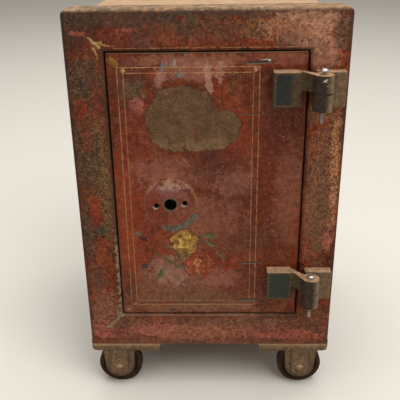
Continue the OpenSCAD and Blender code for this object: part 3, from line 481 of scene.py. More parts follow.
frontLook = {
    # gold line with its height and ends, opening round the door, top of the bead, wheels' axles
    "line": "a07a48", "lineHeight": 444.0, "lineEnds": (122.0, 108.0), "gap": 2.5, "beadTop": 12.8,
    "axles": (135.5, -30.0), "leafShade": "5f4526", "grime": "2f2018",
    "leftGrime": ("2c2016", "5e4630"), "flaked": "a08a72", "outer": "31221a", "cheek": ("4d3b29", "7b6246"),
    "cheekFoot": "33241a", "web": "8d755a", "boss": ("5c4733", "9a8064"),
    "patches": [
        ("2c1810", 0.5, "soft", -158, 330, 26, 200), ("3d3024", 0.8, "ragged", -95, 480, 70, 14, -3),
        ("43352a", 0.75, "ragged", 60, 484, 110, 8), ("3a2b20", 0.75, "grains", -155, 470, 24, 24),
        ("8a4a32", 0.7, "ragged", -157, 463, 10, 4, -8), ("5a2318", 0.7, "soft", -120, 455, 30, 14),
        ("8e4a3c", 0.6, "ragged", -93, 467, 14, 3, 4), ("46302a", 0.65, "ragged", -78, 462, 16, 16),
        ("6a3424", 0.6, "soft", -20, 455, 60, 10), (olive, 0.7, "grains", -22, 467, 26, 12),
        ("5c3a2a", 0.6, "ragged", 30, 466, 30, 12), (golden, 0.75, "grains", 64, 467, 18, 14),
        ("946448", 0.8, "grains", 118, 468, 48, 22), ("a0705a", 0.7, "grains", 138, 442, 26, 26),
        ("a87e64", 0.45, "grains", 128, 476, 36, 10, -6), ("644a3a", 0.5, "ragged", 100, 450, 16, 12),
        ("4c3b2c", 0.65, "grains", 164, 462, 12, 24), (olive, 0.9, "grains", -152, 402, 24, 32),
        ("762a14", 0.75, "ragged", -157, 370, 6, 13, 10), ("5e2418", 0.6, "ragged", -139, 382, 8, 24),
        (golden, 0.85, "grains", -143, 296, 14, 60), (olive, 0.85, "grains", -160, 300, 16, 46),
        ("6a2e20", 0.65, "ragged", -155, 327, 7, 17), ("702a15", 0.8, "ragged", -151, 230, 10, 26, 12),
        ("8a4220", 0.4, "grains", -155, 238, 6, 16), (golden, 0.8, "grains", -135, 245, 9, 74),
        ("3d3b2e", 0.85, "ragged", -146, 197, 9, 8, 30), (olive, 0.8, "ragged", -165, 190, 8, 46),
        ("743618", 0.75, "ragged", -147, 165, 12, 24), ("563828", 0.65, "ragged", -158, 120, 14, 26),
        ("7c503a", 0.7, "grains", -150, 70, 24, 34), ("7e5040", 0.55, "soft", 0, 34, 190, 24),
        ("904c40", 0.85, "ragged", -156, 36, 15, 13), ("905042", 0.75, "ragged", -88, 37, 34, 12),
        ("5e3f2c", 0.6, "grains", -118, 48, 30, 8), ("8a563e", 0.6, "grains", -20, 32, 70, 14),
        ("634832", 0.6, "ragged", 50, 50, 70, 7), ("8a4636", 0.75, "ragged", 118, 27, 54, 8),
        ("5a3626", 0.6, "grains", 155, 60, 18, 24), (("563a2a", "805a40"), 0.7, "grains", 148, 250, 22, 96),
        ("5e4028", 0.55, "ragged", 148, 205, 14, 44),
        (("6a4430", "b47c54"), 0.75, "grains", 166, 290, 6, 90, 2),
        ("915343", 0.75, "ragged", 163, 184, 6, 20, 4), ("704332", 0.6, "ragged", 150, 120, 22, 30),
        ("86603f", 0.55, "grains", 142, 360, 20, 14),
    ],
    # Corner sprays of gold leaves
    "leaves": [
        (-139.5, 453.0, 130, 7.0, 2.6, "a88450"), (-133.0, 448.0, 138, 6.0, 3.6, "ac8a54"),
        (-128.8, 450.3, 150, 4.6, 2.2, "a07e4c"), (-123.0, 447.8, 155, 3.0, 1.8, "a88450"),
        (-118.6, 447.0, 165, 2.2, 1.5, "987648"), (-114.0, 446.6, 170, 1.6, 1.2, "987648"),
        (-137.0, 442.5, 118, 4.4, 2.4, "a07e4c"), (-134.6, 437.3, 112, 3.0, 1.8, "a88450"),
        (-133.8, 432.6, 108, 2.0, 1.4, "96694f"), (-145.4, 459.3, 140, 2.2, 1.8, "3a2520"),
        (132.0, 444.0, 50, 5.0, 1.6, "94704a"), (138.6, 451.0, 48, 6.5, 1.7, "9c7a50"),
        (133.0, 451.5, 75, 4.4, 1.3, "94704a"), (139.5, 444.2, 25, 4.4, 1.3, "94704a"),
        (146.0, 449.3, 60, 2.2, 1.3, "4e241a"), (84.2, 455.2, 90, 2.2, 1.3, "b07f3a"),
        (-139.0, 47.5, 222, 10.0, 4.0, "7d6850"), (-147.5, 41.0, 215, 4.6, 3.0, "8a7458"),
        (-131.5, 56.0, 245, 7.0, 3.0, "7a6650"), (-132.0, 66.0, 268, 6.0, 2.4, "84705a"),
    ],
}


def makeFrontEnamel():
    look = frontLook
    material, place = startMaterial("wornEnamelFront")
    colour, flake, mottle, grain = enamelBase(place, enamelLook)
    colour = layPatches(colour, flatParts(place, 10.0, 16.0), flake, mottle, grain, look["patches"])
    colour = weathered(colour, place, flake, mottle, grain, enamelLook)
    sharp = flatParts(place, 1.0, 2.5)
    right, up = sharp
    worn = specks(place, 5.0, 0.62, 0.1)

    # Gold line above the opening, and sprays of gold leaves at the corners
    line = rise(abs(up - look["lineHeight"]), 0.9, 0.3) * rise(abs(right), *look["lineEnds"])
    colour = overlay(line * worn * 0.75, colour, look["line"])
    colour = layLeaves(colour, sharp, worn * 0.5 + 0.42, mottle, look["leaves"], look["leafShade"])

    # The rounded edge of the opening is darkened with painted shade, and low down on the left its paint has
    # flaked
    x, z, width, height = flatBox("door_plate")
    fromEdge = fromBox(sharp, x, z, width + look["gap"], height + look["gap"])
    onLeft = rise(right, -120.0, -127.0)
    lowLeft = rise(up, 196.0, 176.0) * onLeft * rise(up, 34.0, 44.0)
    flakes = roughened(rise(fromEdge, 5.4, 1.0) * 0.62, mottle, 5.0, 0.16)
    # The first coat is painted shade along the opening's rounded edge
    colour = coated(
        colour, (rise(fromEdge, 4.6, 0.8) * rise(flake, 0.36, 0.56) * 0.6, look["grime"]),
        (rise(fromEdge, 5.0, 2.0) * onLeft * 0.45, granular(grain, *look["leftGrime"])),
        (flakes * lowLeft * 0.6, look["flaked"]))

    # Dusty bead and cheeks below the painted face, with painted shade towards the feet of the cheeks and a
    # lighter boss round each axle
    bead = look["beadTop"]
    below = rise(up, bead + 1, bead - 0.6)
    dusty = shade(granular(grain, *look["cheek"]), flake, 0.60, 1.40)
    web = contour(noiseAt(place, 24.0, 3.0), 0.006)
    # Painted shade: the cheeks darken towards their feet
    dusty = coated(dusty, (rise(up, -4.0, -44.0) * 0.6, look["cheekFoot"]), (web * 0.4, look["web"]))
    for side in (-1, 1):
        boss = oval(sharp, side * look["axles"][0], look["axles"][1], 15.0, 14.0, 0.0, 0.8)
        dusty = overlay(roughened(boss, mottle, 3.0, 0.3) * 0.55, dusty, granular(grain, *look["boss"]))

    # Painted shade darkening the rounded outer edges, rubbed edges, and dust where the surface faces up
    half = cadBox[1][0] * 1000
    top = cadBox[1][2] * 1000 - liftOfCastings
    outer = rise(fromBox(sharp, 0, top / 2, half, top / 2), 8.0, 1.0)
    # The first coat is painted shade on the rounded outer edges
    colour = coated(
        colour, (outer * rise(flake, 0.30, 0.55) * 0.75, look["outer"]), (below * 0.94, dusty),
        (rubbing(place, 0.003, 0.7, 7.0) * 0.5, enamelLook["bareIron"]))
    fillet = rise(up, bead, bead + 1) * rise(up, 30.0, 22.0)
    sill = rise(up, 40.0, 50.0) * rise(up, 90.0, 80.0) * (rise(flake, 0.60, 0.44) * 0.4 + 0.45)
    onTop = rise(up, 478.0, 486.0) * rise(flake, 0.42, 0.56)
    dust = dustOn(place, 0.78, 9.0) * (1.0 - sill)
    for mask, share in ((fillet, 0.8), (below, 0.25), (onTop, 0.66)):
        dust = dust * (1.0 - mask * share)
    colour = overlay(dust, colour, enamelLook["dust"])
    return finishMaterial(material, colour, grain * 0.35 + 0.5, castGrain(place, 1.7, 0.4), 0.6)


doorLook = {
    "paint": {"deep": "521f0c", "red": "6e2a10", "light": "7e3c22", "hollow": 0.66, "raised": 1.34,
              "pepper": 0.2, "scratched": 0.75, "mottleSize": 8.0},
    "lineMiddle": (-23.0, 249.5), "gold": "a87c40", "goldPale": "b8925e", "leafShade": "5a4420",
    "foliageShade": "30331c",
    # half width, half height and strength of the two gold lines
    "lines": [(88.2, 171.0, 0.85), (80.6, 164.0, 0.7)],
    "ring": (-50.2, 236.0), "ringRadius": 38.5, "screwHoles": (19.2, 1.7), "scuff": "a67c5c",
    # noise size, stretch, width and strength of the fine scratches
    "scuffs": [(26.0, (0.25, 1.0, 4.5), 0.004, 0.4), (22.0, (3.6, 1.0, 0.3), 0.004, 0.45),
               (12.0, (1.0, 1.0, 0.8), 0.007, 0.5)],
    "patches": [
        ("7d4c38", 0.75, "ragged", -20, 428, 100, 8), ("935f4e", 0.55, "grains", -20, 418, 46, 14),
        ("a47c68", 0.6, "ragged", 3, 408, 5, 22, 4), ("9c7262", 0.55, "ragged", 16, 412, 4, 16, -6),
        ("9c7262", 0.5, "grains", -60, 408, 8, 12), ("50281c", 0.75, "ragged", -100, 392, 20, 44),
        (("33261b", "655038"), 0.85, "grains", -93, 391, 13, 13),
        ("96594a", 0.7, "ragged", -87, 374, 10, 10), ("6c2a18", 0.75, "ragged", -95, 300, 24, 64),
        ("7d3418", 0.85, "soft", -108, 190, 16, 96), ("722b15", 0.75, "ragged", -88, 215, 26, 44),
        ("744030", 0.65, "ragged", -40, 272, 54, 18), ("85523f", 0.6, "grains", -55, 285, 44, 18),
        ("4a241a", 0.7, "soft", 14, 292, 46, 22, -10), ("54261c", 0.6, "soft", 30, 240, 32, 44),
        ("4a1c10", 0.85, "soft", 98, 335, 34, 70), ("5a200c", 0.85, "soft", 90, 228, 36, 74),
        ("7d4e38", 0.5, "grains", 106, 250, 20, 70), ("6c3c2c", 0.6, "ragged", 0, 200, 60, 40),
        ("764a38", 0.65, "grains", -40, 112, 74, 26), ("9c7664", 0.45, "grains", -54, 134, 24, 28, 20),
        ("664430", 0.75, "ragged", -10, 88, 104, 16), ("75503a", 0.6, "grains", -20, 73, 104, 8),
        ("5a2a1c", 0.7, "ragged", 62, 112, 50, 26), ("8c5440", 0.6, "grains", 98, 430, 30, 8),
        ("4a261c", 0.6, "soft", 60, 185, 34, 22, 20), ("835444", 0.5, "grains", 34, 268, 26, 20, 20),
        ("401f18", 0.6, "ragged", -110, 110, 10, 26), ("8a5a4a", 0.45, "grains", 14, 122, 30, 14),
        ("7e4c3a", 0.5, "grains", 0, 220, 40, 30),
    ],
    # Pointed scratches down to grey metal, with painted shade along their upper side: x, z, turn, half
    # length, half width
    "scratches": [(65.0, 425.5, 2, 23.0, 2.2), (55.6, 360.5, 0, 22.0, 1.0), (58.0, 147.3, 1, 22.5, 1.6),
                  (55.5, 86.5, 1, 22.5, 2.2)],
    # Chips: x, z, turn, half length, half width, tone
    "chips": [
        (-96.6, 192.7, 0, 6.0, 3.4, "54543f"), (-89.0, 185.0, -25, 7.5, 4.0, "2b1c22"),
        (-96.0, 167.0, 0, 3.6, 2.8, "46483a"), (-90.4, 141.5, -10, 5.4, 4.0, "2b2a34"),
        (-53.0, 68.8, 5, 4.2, 1.8, "2f3028"), (-55.4, 421.0, 80, 6.0, 2.0, "68757a"),
        (-51.0, 424.0, 70, 4.0, 1.6, "5c6a72"), (-39.5, 426.2, 85, 5.0, 1.6, "7c8584"),
        (-33.1, 410.1, 10, 4.0, 1.8, "65726e"), (-36.0, 414.0, 60, 3.0, 1.4, "4d5a60"),
        (72.0, 429.0, 0, 6.0, 1.2, "a9a598"), (76.0, 427.5, 0, 2.0, 1.2, "c9c6ba"),
    ],
    # Gold leaves and dots in the corners of the lines
    "leaves": [
        (-114.4, 426.6, 125, 9.0, 4.4, "8a6c28"), (-104.3, 416.5, 100, 3.4, 3.6, "b08c5e"),
        (59.5, 417.3, 90, 3.2, 3.4, "b8907a"), (-114.8, 72.2, 40, 5.6, 2.8, "946e4c"),
        (-106.2, 80.8, 40, 2.6, 2.4, "9c7652"),
    ],
    # Leaves of the painted spray
    "foliage": [
        (-2.0, 188.0, 8, 17.0, 4.6, "565730"), (4.0, 178.0, -14, 11.0, 3.4, "625c3c"),
        (-39.0, 160.0, 110, 12.0, 4.4, "5a5a2c"), (-54.0, 152.0, 140, 11.0, 3.2, "545734"),
        (-66.0, 131.0, 68, 14.0, 4.2, "585a3a"), (-43.0, 140.0, 40, 9.0, 2.2, "545432"),
        (-27.0, 161.0, 62, 13.0, 2.0, "686a36"), (16.0, 160.0, -35, 9.0, 2.6, "62593c"),
        (-52.0, 170.0, 165, 8.0, 2.8, "66633c"), (-70.0, 160.0, 120, 7.0, 2.0, "4f5236"),
    ],
    # Bare patch above the dial and the enamel left in it: x, z, half width and height, turn, softness
    "bareOvals": [(-31, 354, 48, 43, 0.0, 0.22), (14, 340, 30, 25, 24.0, 0.3),
                  (-44, 332, 30, 20, 0.0, 0.3), (-10, 326, 42, 14, 0.0, 0.3)],
    "island": (-14, 334, 3.4, 12, 0.0, 0.5),
    # Blooms: x, z, then from the outside in: offset, radius, petals, notch, turn, tone, folds, outline
    "blooms": [(-14.0, 144.0, [
        (0, 0, 23.0, 5.0, 0.26, 14.0, "7a3420", "562216", "9c5a3a"),
        (3, 2, 17.5, 4.0, 0.30, 50.0, "86391f", "5c2416", "b4704a"),
        (-4, -3, 13.5, 5.0, 0.34, 5.0, "8f4322", "672a17", "bd7c50"),
        (3, -5, 9.5, 4.0, 0.36, 30.0, "9a5030", "702f1a", "c48c60"),
        (-1, 3, 6.5, 3.0, 0.30, 70.0, "a2582f", "78351c", "cfa070"),
        (1, -1, 3.2, 3.0, 0.25, 0.0, "ab7040", "7c3f20", "d0a878"),
    ]), (-33.0, 180.0, [
        (0, 0, 20.0, 5.0, 0.24, 20.0, "92692a", "644518", "c09a54"),
        (-3, 2, 15.5, 4.0, 0.30, 60.0, "9e7630", "70501c", "ccab60"),
        (3, -2, 12.0, 5.0, 0.32, 10.0, "a67f36", "7a5820", "d2b36a"),
        (-1, -4, 8.5, 4.0, 0.34, 45.0, "ac863c", "805f26", "d6ba78"),
        (1, 2, 5.5, 3.0, 0.30, 80.0, "966a28", "6c4818", "c49c50"),
    ])],
}


# Rings of petals, each off centre by its first two values, with pale outlines
def layFlower(colour, flat, kept, pattern, x, z, rings):
    for dx, dz, radius, petals, notch, turn, tone, foldTone, outline in rings:
        shape = shapeAt(flowerShape, flat, x + dx, z + dz, turn, Radius=radius, Petals=petals, Notch=notch)
        line = rise(abs(shape["Inside"] - 0.7), 1.0, 0.2) * rise(pattern, 0.42, 0.56)
        petal = overlay(line, overlay(rise(shape["Fold"], 0.1, 0.9), foldTone, tone), outline)
        mask = rise(shape["Inside"], -0.3, 0.3)
        colour = overlay(mask * kept, colour, shade(petal, pattern, 0.72, 1.3))
    return colour


# What the missing dial left: pale ring, mauve paint inside it, a chip below, bare holes
def layDialMark(colour, place, sharp, flake, mottle, grain):
    x, z = doorLook["ring"]
    radius = doorLook["ringRadius"]
    ragged = flatParts(place, 9.0, 7.0)
    dx = sharp[0] - x
    dz = sharp[1] - z
    away = distance(dx, dz)
    inside = roughened(rise(away, radius + 2, radius - 3) * 0.8, flake, 2.0)
    mauve = roughened(oval(ragged, x + 1, z + 19, 20, 13, 0.0, 0.9) * 0.8, flake, 3.0, 0.4)
    pale = roughened(oval(ragged, x + 2, z + 27, 15, 7, 0.0, 0.9) * 0.75, mottle, 4.0, 0.3)
    rim = roughened(rise(abs(away - (radius - 3)), 3.6, 0.6) * 0.62, mottle, 4.0, 0.2)
    atTop = rise(dz, 8, 30)
    atRight = rise(dx, 22, 32) * rise(dz, -18, -4) * rise(dz, 26, 8)
    atLeft = rise(dx, -10, -26) * rise(dz, 22, 6)
    colour = coated(
        colour, (inside * 0.25, "75302a"), (mauve * 0.45, "8a6264"), (pale * 0.55, "b0907a"),
        (rim * atTop * 0.6, "a08260"), (rim * atRight * 0.6, "8a5f2e"), (rim * atLeft * 0.45, "604a36"))

    # Crescent chip below on the right, then bare rims round the three holes, with a painted highlight on the
    # lower edge of each screw hole
    cutOut = oval(ragged, x - 3, z + 6.5, radius - 2, radius - 1, 0.0, 0.04)
    reach = rise(dx, -16, -9) * rise(dz, -10, -16)
    chip = rise(away, radius + 2, radius) * (1.0 - cutOut) * reach * 0.85
    colour = coated(
        colour, (roughened(chip * 1.1, mottle, 5.0, 0.14) * 0.7, "2e241c"),
        (roughened(chip * 0.9, mottle, 5.0) * 0.88, granular(grain, "40423a", "6b6b5e")),
        (rise(away, 11.6, 9.6) * 0.8, "4c4f3e"))
    apart, tilt = doorLook["screwHoles"]
    for side in (-1, 1):
        atX = x - 0.3 + side * apart
        atZ = z + side * tilt
        # The second coat is a painted highlight on the lower edge of the screw hole
        colour = coated(
            colour, (oval(sharp, atX, atZ, 4.6, 4.6, 0.0, 0.18) * 0.7, "463a2c"),
            (oval(sharp, atX - 1.2, atZ - 2.0, 3.6, 3.2, 0.0, 0.25) * 0.8, "9a8c72"))
    return colour


def makeDoorEnamel():
    look = doorLook
    material, place = startMaterial("wornEnamelDoor")
    paintLook = {**enamelLook, **look["paint"]}
    colour, flake, mottle, grain = enamelBase(place, paintLook)
    flat = flatParts(place, 12.0, 18.0)
    colour = layPatches(colour, flat, flake, mottle, grain, look["patches"])
    colour = weathered(colour, place, flake, mottle, grain, paintLook)
    sharp = flatParts(place, 1.2, 2.5)
    up = sharp[1]
    worn = specks(place, 9.0, 0.60, 0.12)
    kept = worn * 0.55 + 0.35

    # Two gold lines along the edges of the door, with leaves and dots in their corners
    gold = overlay(worn, look["gold"], look["goldPale"])
    upper = rise(up, 380.0, 418.0) * 0.3 + 0.7
    for width, height, strength in look["lines"]:
        line = rise(fromBox(sharp, *look["lineMiddle"], width, height), 0.85, 0.2)
        colour = overlay(line * kept * upper * strength, colour, gold)
    colour = layLeaves(colour, sharp, kept, mottle, look["leaves"], look["leafShade"])
    colour = layDialMark(colour, place, sharp, flake, mottle, grain)

    # Painted spray of flowers, much worn
    bloom = flatParts(place, 12.0, 12.0)
    left = rise(flake, 0.60, 0.50) * 0.55 + 0.35
    colour = layLeaves(colour, bloom, left, mottle, look["foliage"], look["foliageShade"])
    for x, z, rings in look["blooms"]:
        colour = layFlower(colour, bloom, left, mottle, x, z, rings)

    # Scratches and chips; each scratch is grey along its lower side and near black along its upper side,
    # painted light and shade in the groove
    chipped = flatParts(place, 7.0, 5.0)
    for x, z, turn, reach, width in look["scratches"]:
        mask, across = leaf(sharp, x, z, reach, width, turn, 0.4)
        colour = overlay(mask * 0.9, colour, overlay(rise(across, -0.9, 0.2), "6f6250", "2b2a27"))
    for x, z, turn, reach, width, tone in look["chips"]:
        mask = leaf(chipped, x, z, reach, width, turn, 0.6)[0]
        colour = overlay(mask * 0.85, colour, tone)

    # Big bare patch above the dial: khaki metal with a dark outline, paler along its lower edge
    body = union(*(oval(flat, *values) for values in look["bareOvals"]))
    core = roughened(body - 0.06, flake, 1.6)
    paler = rise(up, 334.0, 318.0) * rise(flake, 0.40, 0.55)
    metal = overlay(paler * 0.6, shade(granular(grain, "4a3524", "6b4e35"), flake, 0.72, 1.30), "7f6347")
    island = roughened(oval(flat, *look["island"]), flake, 1.6)
    colour = coated(
        colour, (roughened(body + 0.1, flake, 1.6) * 0.7, "382218"), (core * 0.96, metal),
        (island * 0.7, "64301f"))

    # Fine scratches both ways, painted shade along the edges, dust, and painted shade in the depths of the
    # holes
    scuffed = rise(flake, 0.46, 0.54) * worn
    for size, stretch, width, strength in look["scuffs"]:
        hair = contour(noiseAt(place, size, 3.0, 0.55, stretch), width)
        colour = overlay(hair * scuffed * strength, colour, look["scuff"])
    # Painted shade along the edges of the door
    edge = rise(fromBox(sharp, *flatBox("door_plate")), 2.4, 0.5)
    colour = dusted(overlay(edge * 0.55, colour, "3a271c"), place, enamelLook["dust"], 0.7, 12.0)
    # Painted shade in the depths of the holes
    depth = partsOf(place)["Y"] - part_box("door_plate")[0].y * 1000
    nearHoles = oval(sharp, *look["ring"], 30.0, 12.0, 0.0, 0.1)
    colour = overlay(rise(depth, 0.3, 1.5) * nearHoles, colour, "120d0a")
    height = castGrain(place, 1.8, 0.16) + core * (grain - 0.9) * 0.35
    return finishMaterial(material, colour, grain * 0.3 + 0.42 + core * 0.25, height, 0.5)


def makeBodyEnamel():
    material, place = startMaterial("wornEnamelBody")
    colour, flake, mottle, grain = enamelBase(place, enamelLook)
    streaks = rise(noiseAt(place, 14.0, 5.0, 0.6, (1.0, 1.0, 0.22)), 0.50, 0.68)
    rust = rise(noiseAt(place, 34.0, 9.0, 0.72, (1.0, 1.0, 0.6)), 0.53, 0.64)
    colour = coated(colour, (streaks * 0.6, "6c4f38"), (rust * 0.7, granular(grain, "35251a", "6b4f36")))
    colour = weathered(colour, place, flake, mottle, grain, enamelLook)

    # Rubbed edges, stained dust that lets the enamel show, and rust along the foot
    stain = rise(noiseAt(place, 26.0, 8.0, 0.7), 0.50, 0.64)
    dustTone = shade(overlay(stain * 0.5, "b29370", "8f7053"), mottle, 0.86, 1.12)
    showing = rise(flake, 0.55, 0.66) * rise(mottle, 0.46, 0.56)
    dust = dustOn(place, 1.0, 22.0) * (1.0 - showing * 0.6)
    low = rise(partsOf(place)["Z"], liftOfCastings + 18, liftOfCastings + 6)
    colour = coated(
        colour, (rubbing(place, 0.003, 0.9, 9.0) * 0.7, enamelLook["bareIron"]), (dust, dustTone),
        (low * 0.85, granular(grain, "3d2d1f", "6a5038")))
    rough = grain * 0.35 + 0.45 + dust * 0.15
    return finishMaterial(material, colour, rough, castGrain(place, 1.7, 0.35), 0.5)


# The hinges' axis, the height halfway between them and their distance from it; tones
hingeLook = {
    "axis": (138.6, -191.85), "middle": 320.5, "halfway": 138.0, "padMiddle": 98.1, "padHalf": (17.5, 22.0),
    # The knuckles' dark and pale tones are painted shade and painted light
    "slate": "1b2122", "green": "252c26", "brown": "443525", "strap": "3e321d", "umber": "2a1f17",
    "turned": "6e5940", "rust": "7a644a", "rubbed": "6b5138", "frameBrown": "665039", "dust": "a68262",
    # The gap tone is painted shade in the seam between the knuckles
    "gap": "120e0b", "glints": (-1.0, 471.5), "glint": "cfc9bb",
}


def makeHingePaint():
    look = hingeLook
    material, place = startMaterial("darkHingePaint")
    grain = noiseAt(place, 1.5, 4.0, 0.7)
    flake = noiseAt(place, 7.0, 8.0, 0.7)
    parts = partsOf(place)
    right, deep, up = (parts[axis] for axis in "XYZ")
    dx = right - look["axis"][0]
    away = distance(dx, deep - look["axis"][1])

    # Brown all over, with slate left in the middle of the door's pads
    upwards = abs(abs(up - look["middle"]) - look["halfway"])
    width, height = look["padHalf"]
    inner = calc("MAXIMUM", abs(right - look["padMiddle"]) - width, upwards - height)
    slate = roughened(rise(inner, -1.0, -6.0) * 0.9, flake, 2.4)
    lower = rise(up, look["middle"] + 10, look["middle"] - 10)
    keep = calc("MAXIMUM", lower, rise(right, 108.0, 98.0))
    pastKnuckle = rise(away, 13.0, 16.0)
    colour = coated(
        shade(look["brown"], flake, 0.62, 1.4),
        (slate * keep * 0.92, overlay(lower, look["slate"], look["green"])),
        (rise(right, 112.0, 117.0) * pastKnuckle * 0.8, shade(look["strap"], flake, 0.7, 1.3)),
        (rise(right, 146.0, 152.0) * pastKnuckle, shade(look["frameBrown"], flake, 0.6, 1.5)))

    # Knuckles: painted shade in front and on the left, painted light on the right, sprinkled with rust
    knuckle = rise(away, 14.5, 12.6)
    turned = shade(overlay(rise(dx, 1.0, 9.0), look["umber"], look["turned"]), flake, 0.7, 1.3)
    rust = specks(place, 1.8, 0.28, 0.05) * (0.5 - slate * 0.35)
    colour = shade(coated(colour, (knuckle * 0.95, turned), (rust, look["rust"])), grain, 0.66, 1.4)
    # Painted shade in the seam between the knuckles
    gap = rise(upwards, 1.5, 0.8) * knuckle
    colour = coated(
        colour, (rubbing(place, 0.0016, 1.0, 4.0) * 0.5, look["rubbed"]), (gap * 0.9, look["gap"]))

    # Painted highlight: bright glints on the front of the upper knuckle; and dust on top
    x, z = look["glints"]
    front = look["axis"][1] - 10
    spot = rise(calc("MAXIMUM", abs(dx - x), abs(up - z) * 0.6), 4.2, 2.6) * rise(deep, front + 1, front - 1)
    bright = rise(noiseAt(place, 3.6, 1.0, 0.5, (0.7, 1.0, 1.7)), 0.56, 0.62)
    dust = dustOn(place, 0.95, 7.0) * rise(flake, 0.30, 0.48)
    colour = coated(colour, (spot * bright, look["glint"]), (dust, shade(look["dust"], flake, 0.78, 1.18)))
    rough = grain * 0.3 + 0.36 + dust * 0.25
    return finishMaterial(material, colour, rough, castGrain(place, 1.4, 0.4), 0.55)


def makeRustyIron(name, dark, light, dust):
    material, place = startMaterial(name)
    grain = noiseAt(place, 1.8, 4.0, 0.65)
    cloud = rise(noiseAt(place, 11.0, 5.0, 0.6), 0.40, 0.64)
    colour = coated(
        overlay(cloud, dark, light), (rise(grain, 0.50, 0.64) * 0.6, "6b4c35"),
        (rubbing(place, 0.0012, 0.8, 5.0) * 0.5, "5f5345"))
    colour = dusted(colour, place, dust, 0.8, 8.0)
    return finishMaterial(material, colour, grain * 0.3 + 0.5, castGrain(place, 1.6, 0.35), 0.5, 0.15)


panelLook = {
    "gold": "9a7444", "scuff": "8d6a56", "oil": "33201a", "oily": (-50, 250, 46, 60),
    # distance from the panel's edge and half thickness of each line
    "lines": [(18.0, 1.1), (22.5, 0.5)],
    # noise size and stretch of the fine scratches
    "scuffs": [(30.0, (0.3, 1.0, 3.4)), (24.0, (2.6, 1.0, 0.4))],
}


# Worn gold lines along the panel's edge, an oily middle, scratches where boxes have rubbed
def layPanelMarks(colour, place, flake):
    look = panelLook
    flat = flatParts(place, 0.8, 3.0)
    x, z, width, height = flatBox("inner_panel")
    for inset, thick in look["lines"]:
        line = rise(fromBox(flat, x, z, width - inset, height - inset), thick, thick * 0.4)
        colour = overlay(line * rise(flake, 0.60, 0.48) * 0.8, colour, look["gold"])
    oil = roughened(oval(flat, *look["oily"], 0.0, 0.9), flake, 3.0, 0.4)
    colour = overlay(oil * 0.35, colour, look["oil"])
    for size, stretch in look["scuffs"]:
        hair = contour(noiseAt(place, size, 3.0, 0.55, stretch), 0.005)
        colour = overlay(hair * rise(flake, 0.46, 0.56) * 0.6, colour, look["scuff"])
    return colour


def makeInnerPaint(name, onPanel):  # dark red enamel of the inside
    material, place = startMaterial(name)
    grain = noiseAt(place, 2.2, 3.0, 0.6)
    flake = noiseAt(place, 12.0, 8.0, 0.7)
    broad = rise(noiseAt(place, 34.0, 5.0, 0.6), 0.40, 0.64)
    colour = shade(overlay(broad, "52231a", "673023"), flake, 0.78, 1.22)
    colour = overlay(specks(place, 7.0, 0.28, 0.08, 6.0) * 0.5, colour, "4a342a")
    if onPanel:
        colour = layPanelMarks(colour, place, flake)
    colour = overlay(rubbing(place, 0.0012, 1.0, 5.0) * 0.8, colour, "7b7368")
    colour = dusted(colour, place, "957860", 0.6, 14.0)
    return finishMaterial(material, colour, grain * 0.25 + 0.32, castGrain(place, 2.4, 0.12), 0.4)


def makeBareSteel(name, stretch, light, stain, roughLow):
    material, place = startMaterial(name)
    streak = use(drawnSteel, "Streak", Vector=place, Stretch=stretch)
    stains = specks(place, 9.0, 0.34, 0.12, 6.0)
    colour = overlay(stains * 0.6, overlay(rise(streak, 0.35, 0.65), "6e6a63", light), stain)
    rough = streak * 0.35 + roughLow + stains * 0.2
    return finishMaterial(material, colour, rough, streak * 0.08, 0.5, 0.9)


def makeBrass(name, dark, light, tarnished):
    material, place = startMaterial(name)
    streak = use(drawnSteel, "Streak", Vector=place, Stretch=(0.12, 1.0, 2.2))
    tarnish = specks(place, 8.0, 0.42, 0.14, 6.0)
    colour = coated(
        overlay(rise(streak, 0.35, 0.65), dark, light), (tarnish * tarnished, "5f4722"),
        (rubbing(place, 0.0006, 0.8, 4.0) * (1.2 - tarnished), "d2b470"))
    rough = streak * 0.25 + 0.2 + tarnish * 0.2
    return finishMaterial(material, colour, rough, streak * 0.05, 0.5, 0.95)


def makeWood(name, stretch):
    material, place = startMaterial(name)
    wood = addNode("Group", {"Vector": place, "Stretch": stretch}, node_tree=woodGrain)
    colour = coated(
        overlay(wood["Band"], "54331c", "7e5230"), (wood["Pore"] * 0.75, "362011"),
        (specks(place, 24.0, 0.3, 0.12, 5.0) * 0.45, "4a3020"))
    colour = dusted(colour, place, "8c7454", 0.35, 18.0)
    return finishMaterial(material, colour, wood["Pore"] * 0.2 + 0.45, wood["Pore"] * -0.12, 0.5)


def makeFilling():
    material, place = startMaterial("fireFilling")
    grain = noiseAt(place, 3.0, 6.0, 0.7)
    pits = specks(place, 4.0, 0.25, 0.05)
    colour = overlay(pits * 0.6, overlay(rise(grain, 0.35, 0.65), "a89d88", "cfc6b2"), "7d725f")
    return finishMaterial(material, colour, 0.9, (grain - pits) * 0.5, 0.6)


frontEnamel = makeFrontEnamel()
doorEnamel = makeDoorEnamel()
bodyEnamel = makeBodyEnamel()
hingePaint = makeHingePaint()
wheelIron = makeRustyIron("wheelIron", "1d1009", "2f1d12", "523c28")
axleIron = makeRustyIron("axleIron", "5a4530", "7c6046", "a08464")
darkIron = makeRustyIron("darkIron", "33291f", "483a2e", "7d664e")
innerPaint = makeInnerPaint("innerPaint", False)
panelPaint = makeInnerPaint("panelPaint", True)
boltSteel = makeBareSteel("boltSteel", (0.06, 2.0, 2.0), "a3a09a", "5f4a38", 0.22)
leverSteel = makeBareSteel("leverSteel", (0.1, 1.0, 2.0), "93908a", "574636", 0.26)
screwSteel = makeBareSteel("screwSteel", (2.0, 2.0, 0.2), "8f8c86", "4f4032", 0.28)
zincPlate = makeBareSteel("zincPlate", (1.4, 1.4, 0.5), "c9c7c0", "8d877a", 0.12)
lockBrass = makeBrass("lockBrass", "9a7a3e", "b99650", 0.65)
tubeBrass = makeBrass("tubeBrass", "33281a", "463623", 0.9)
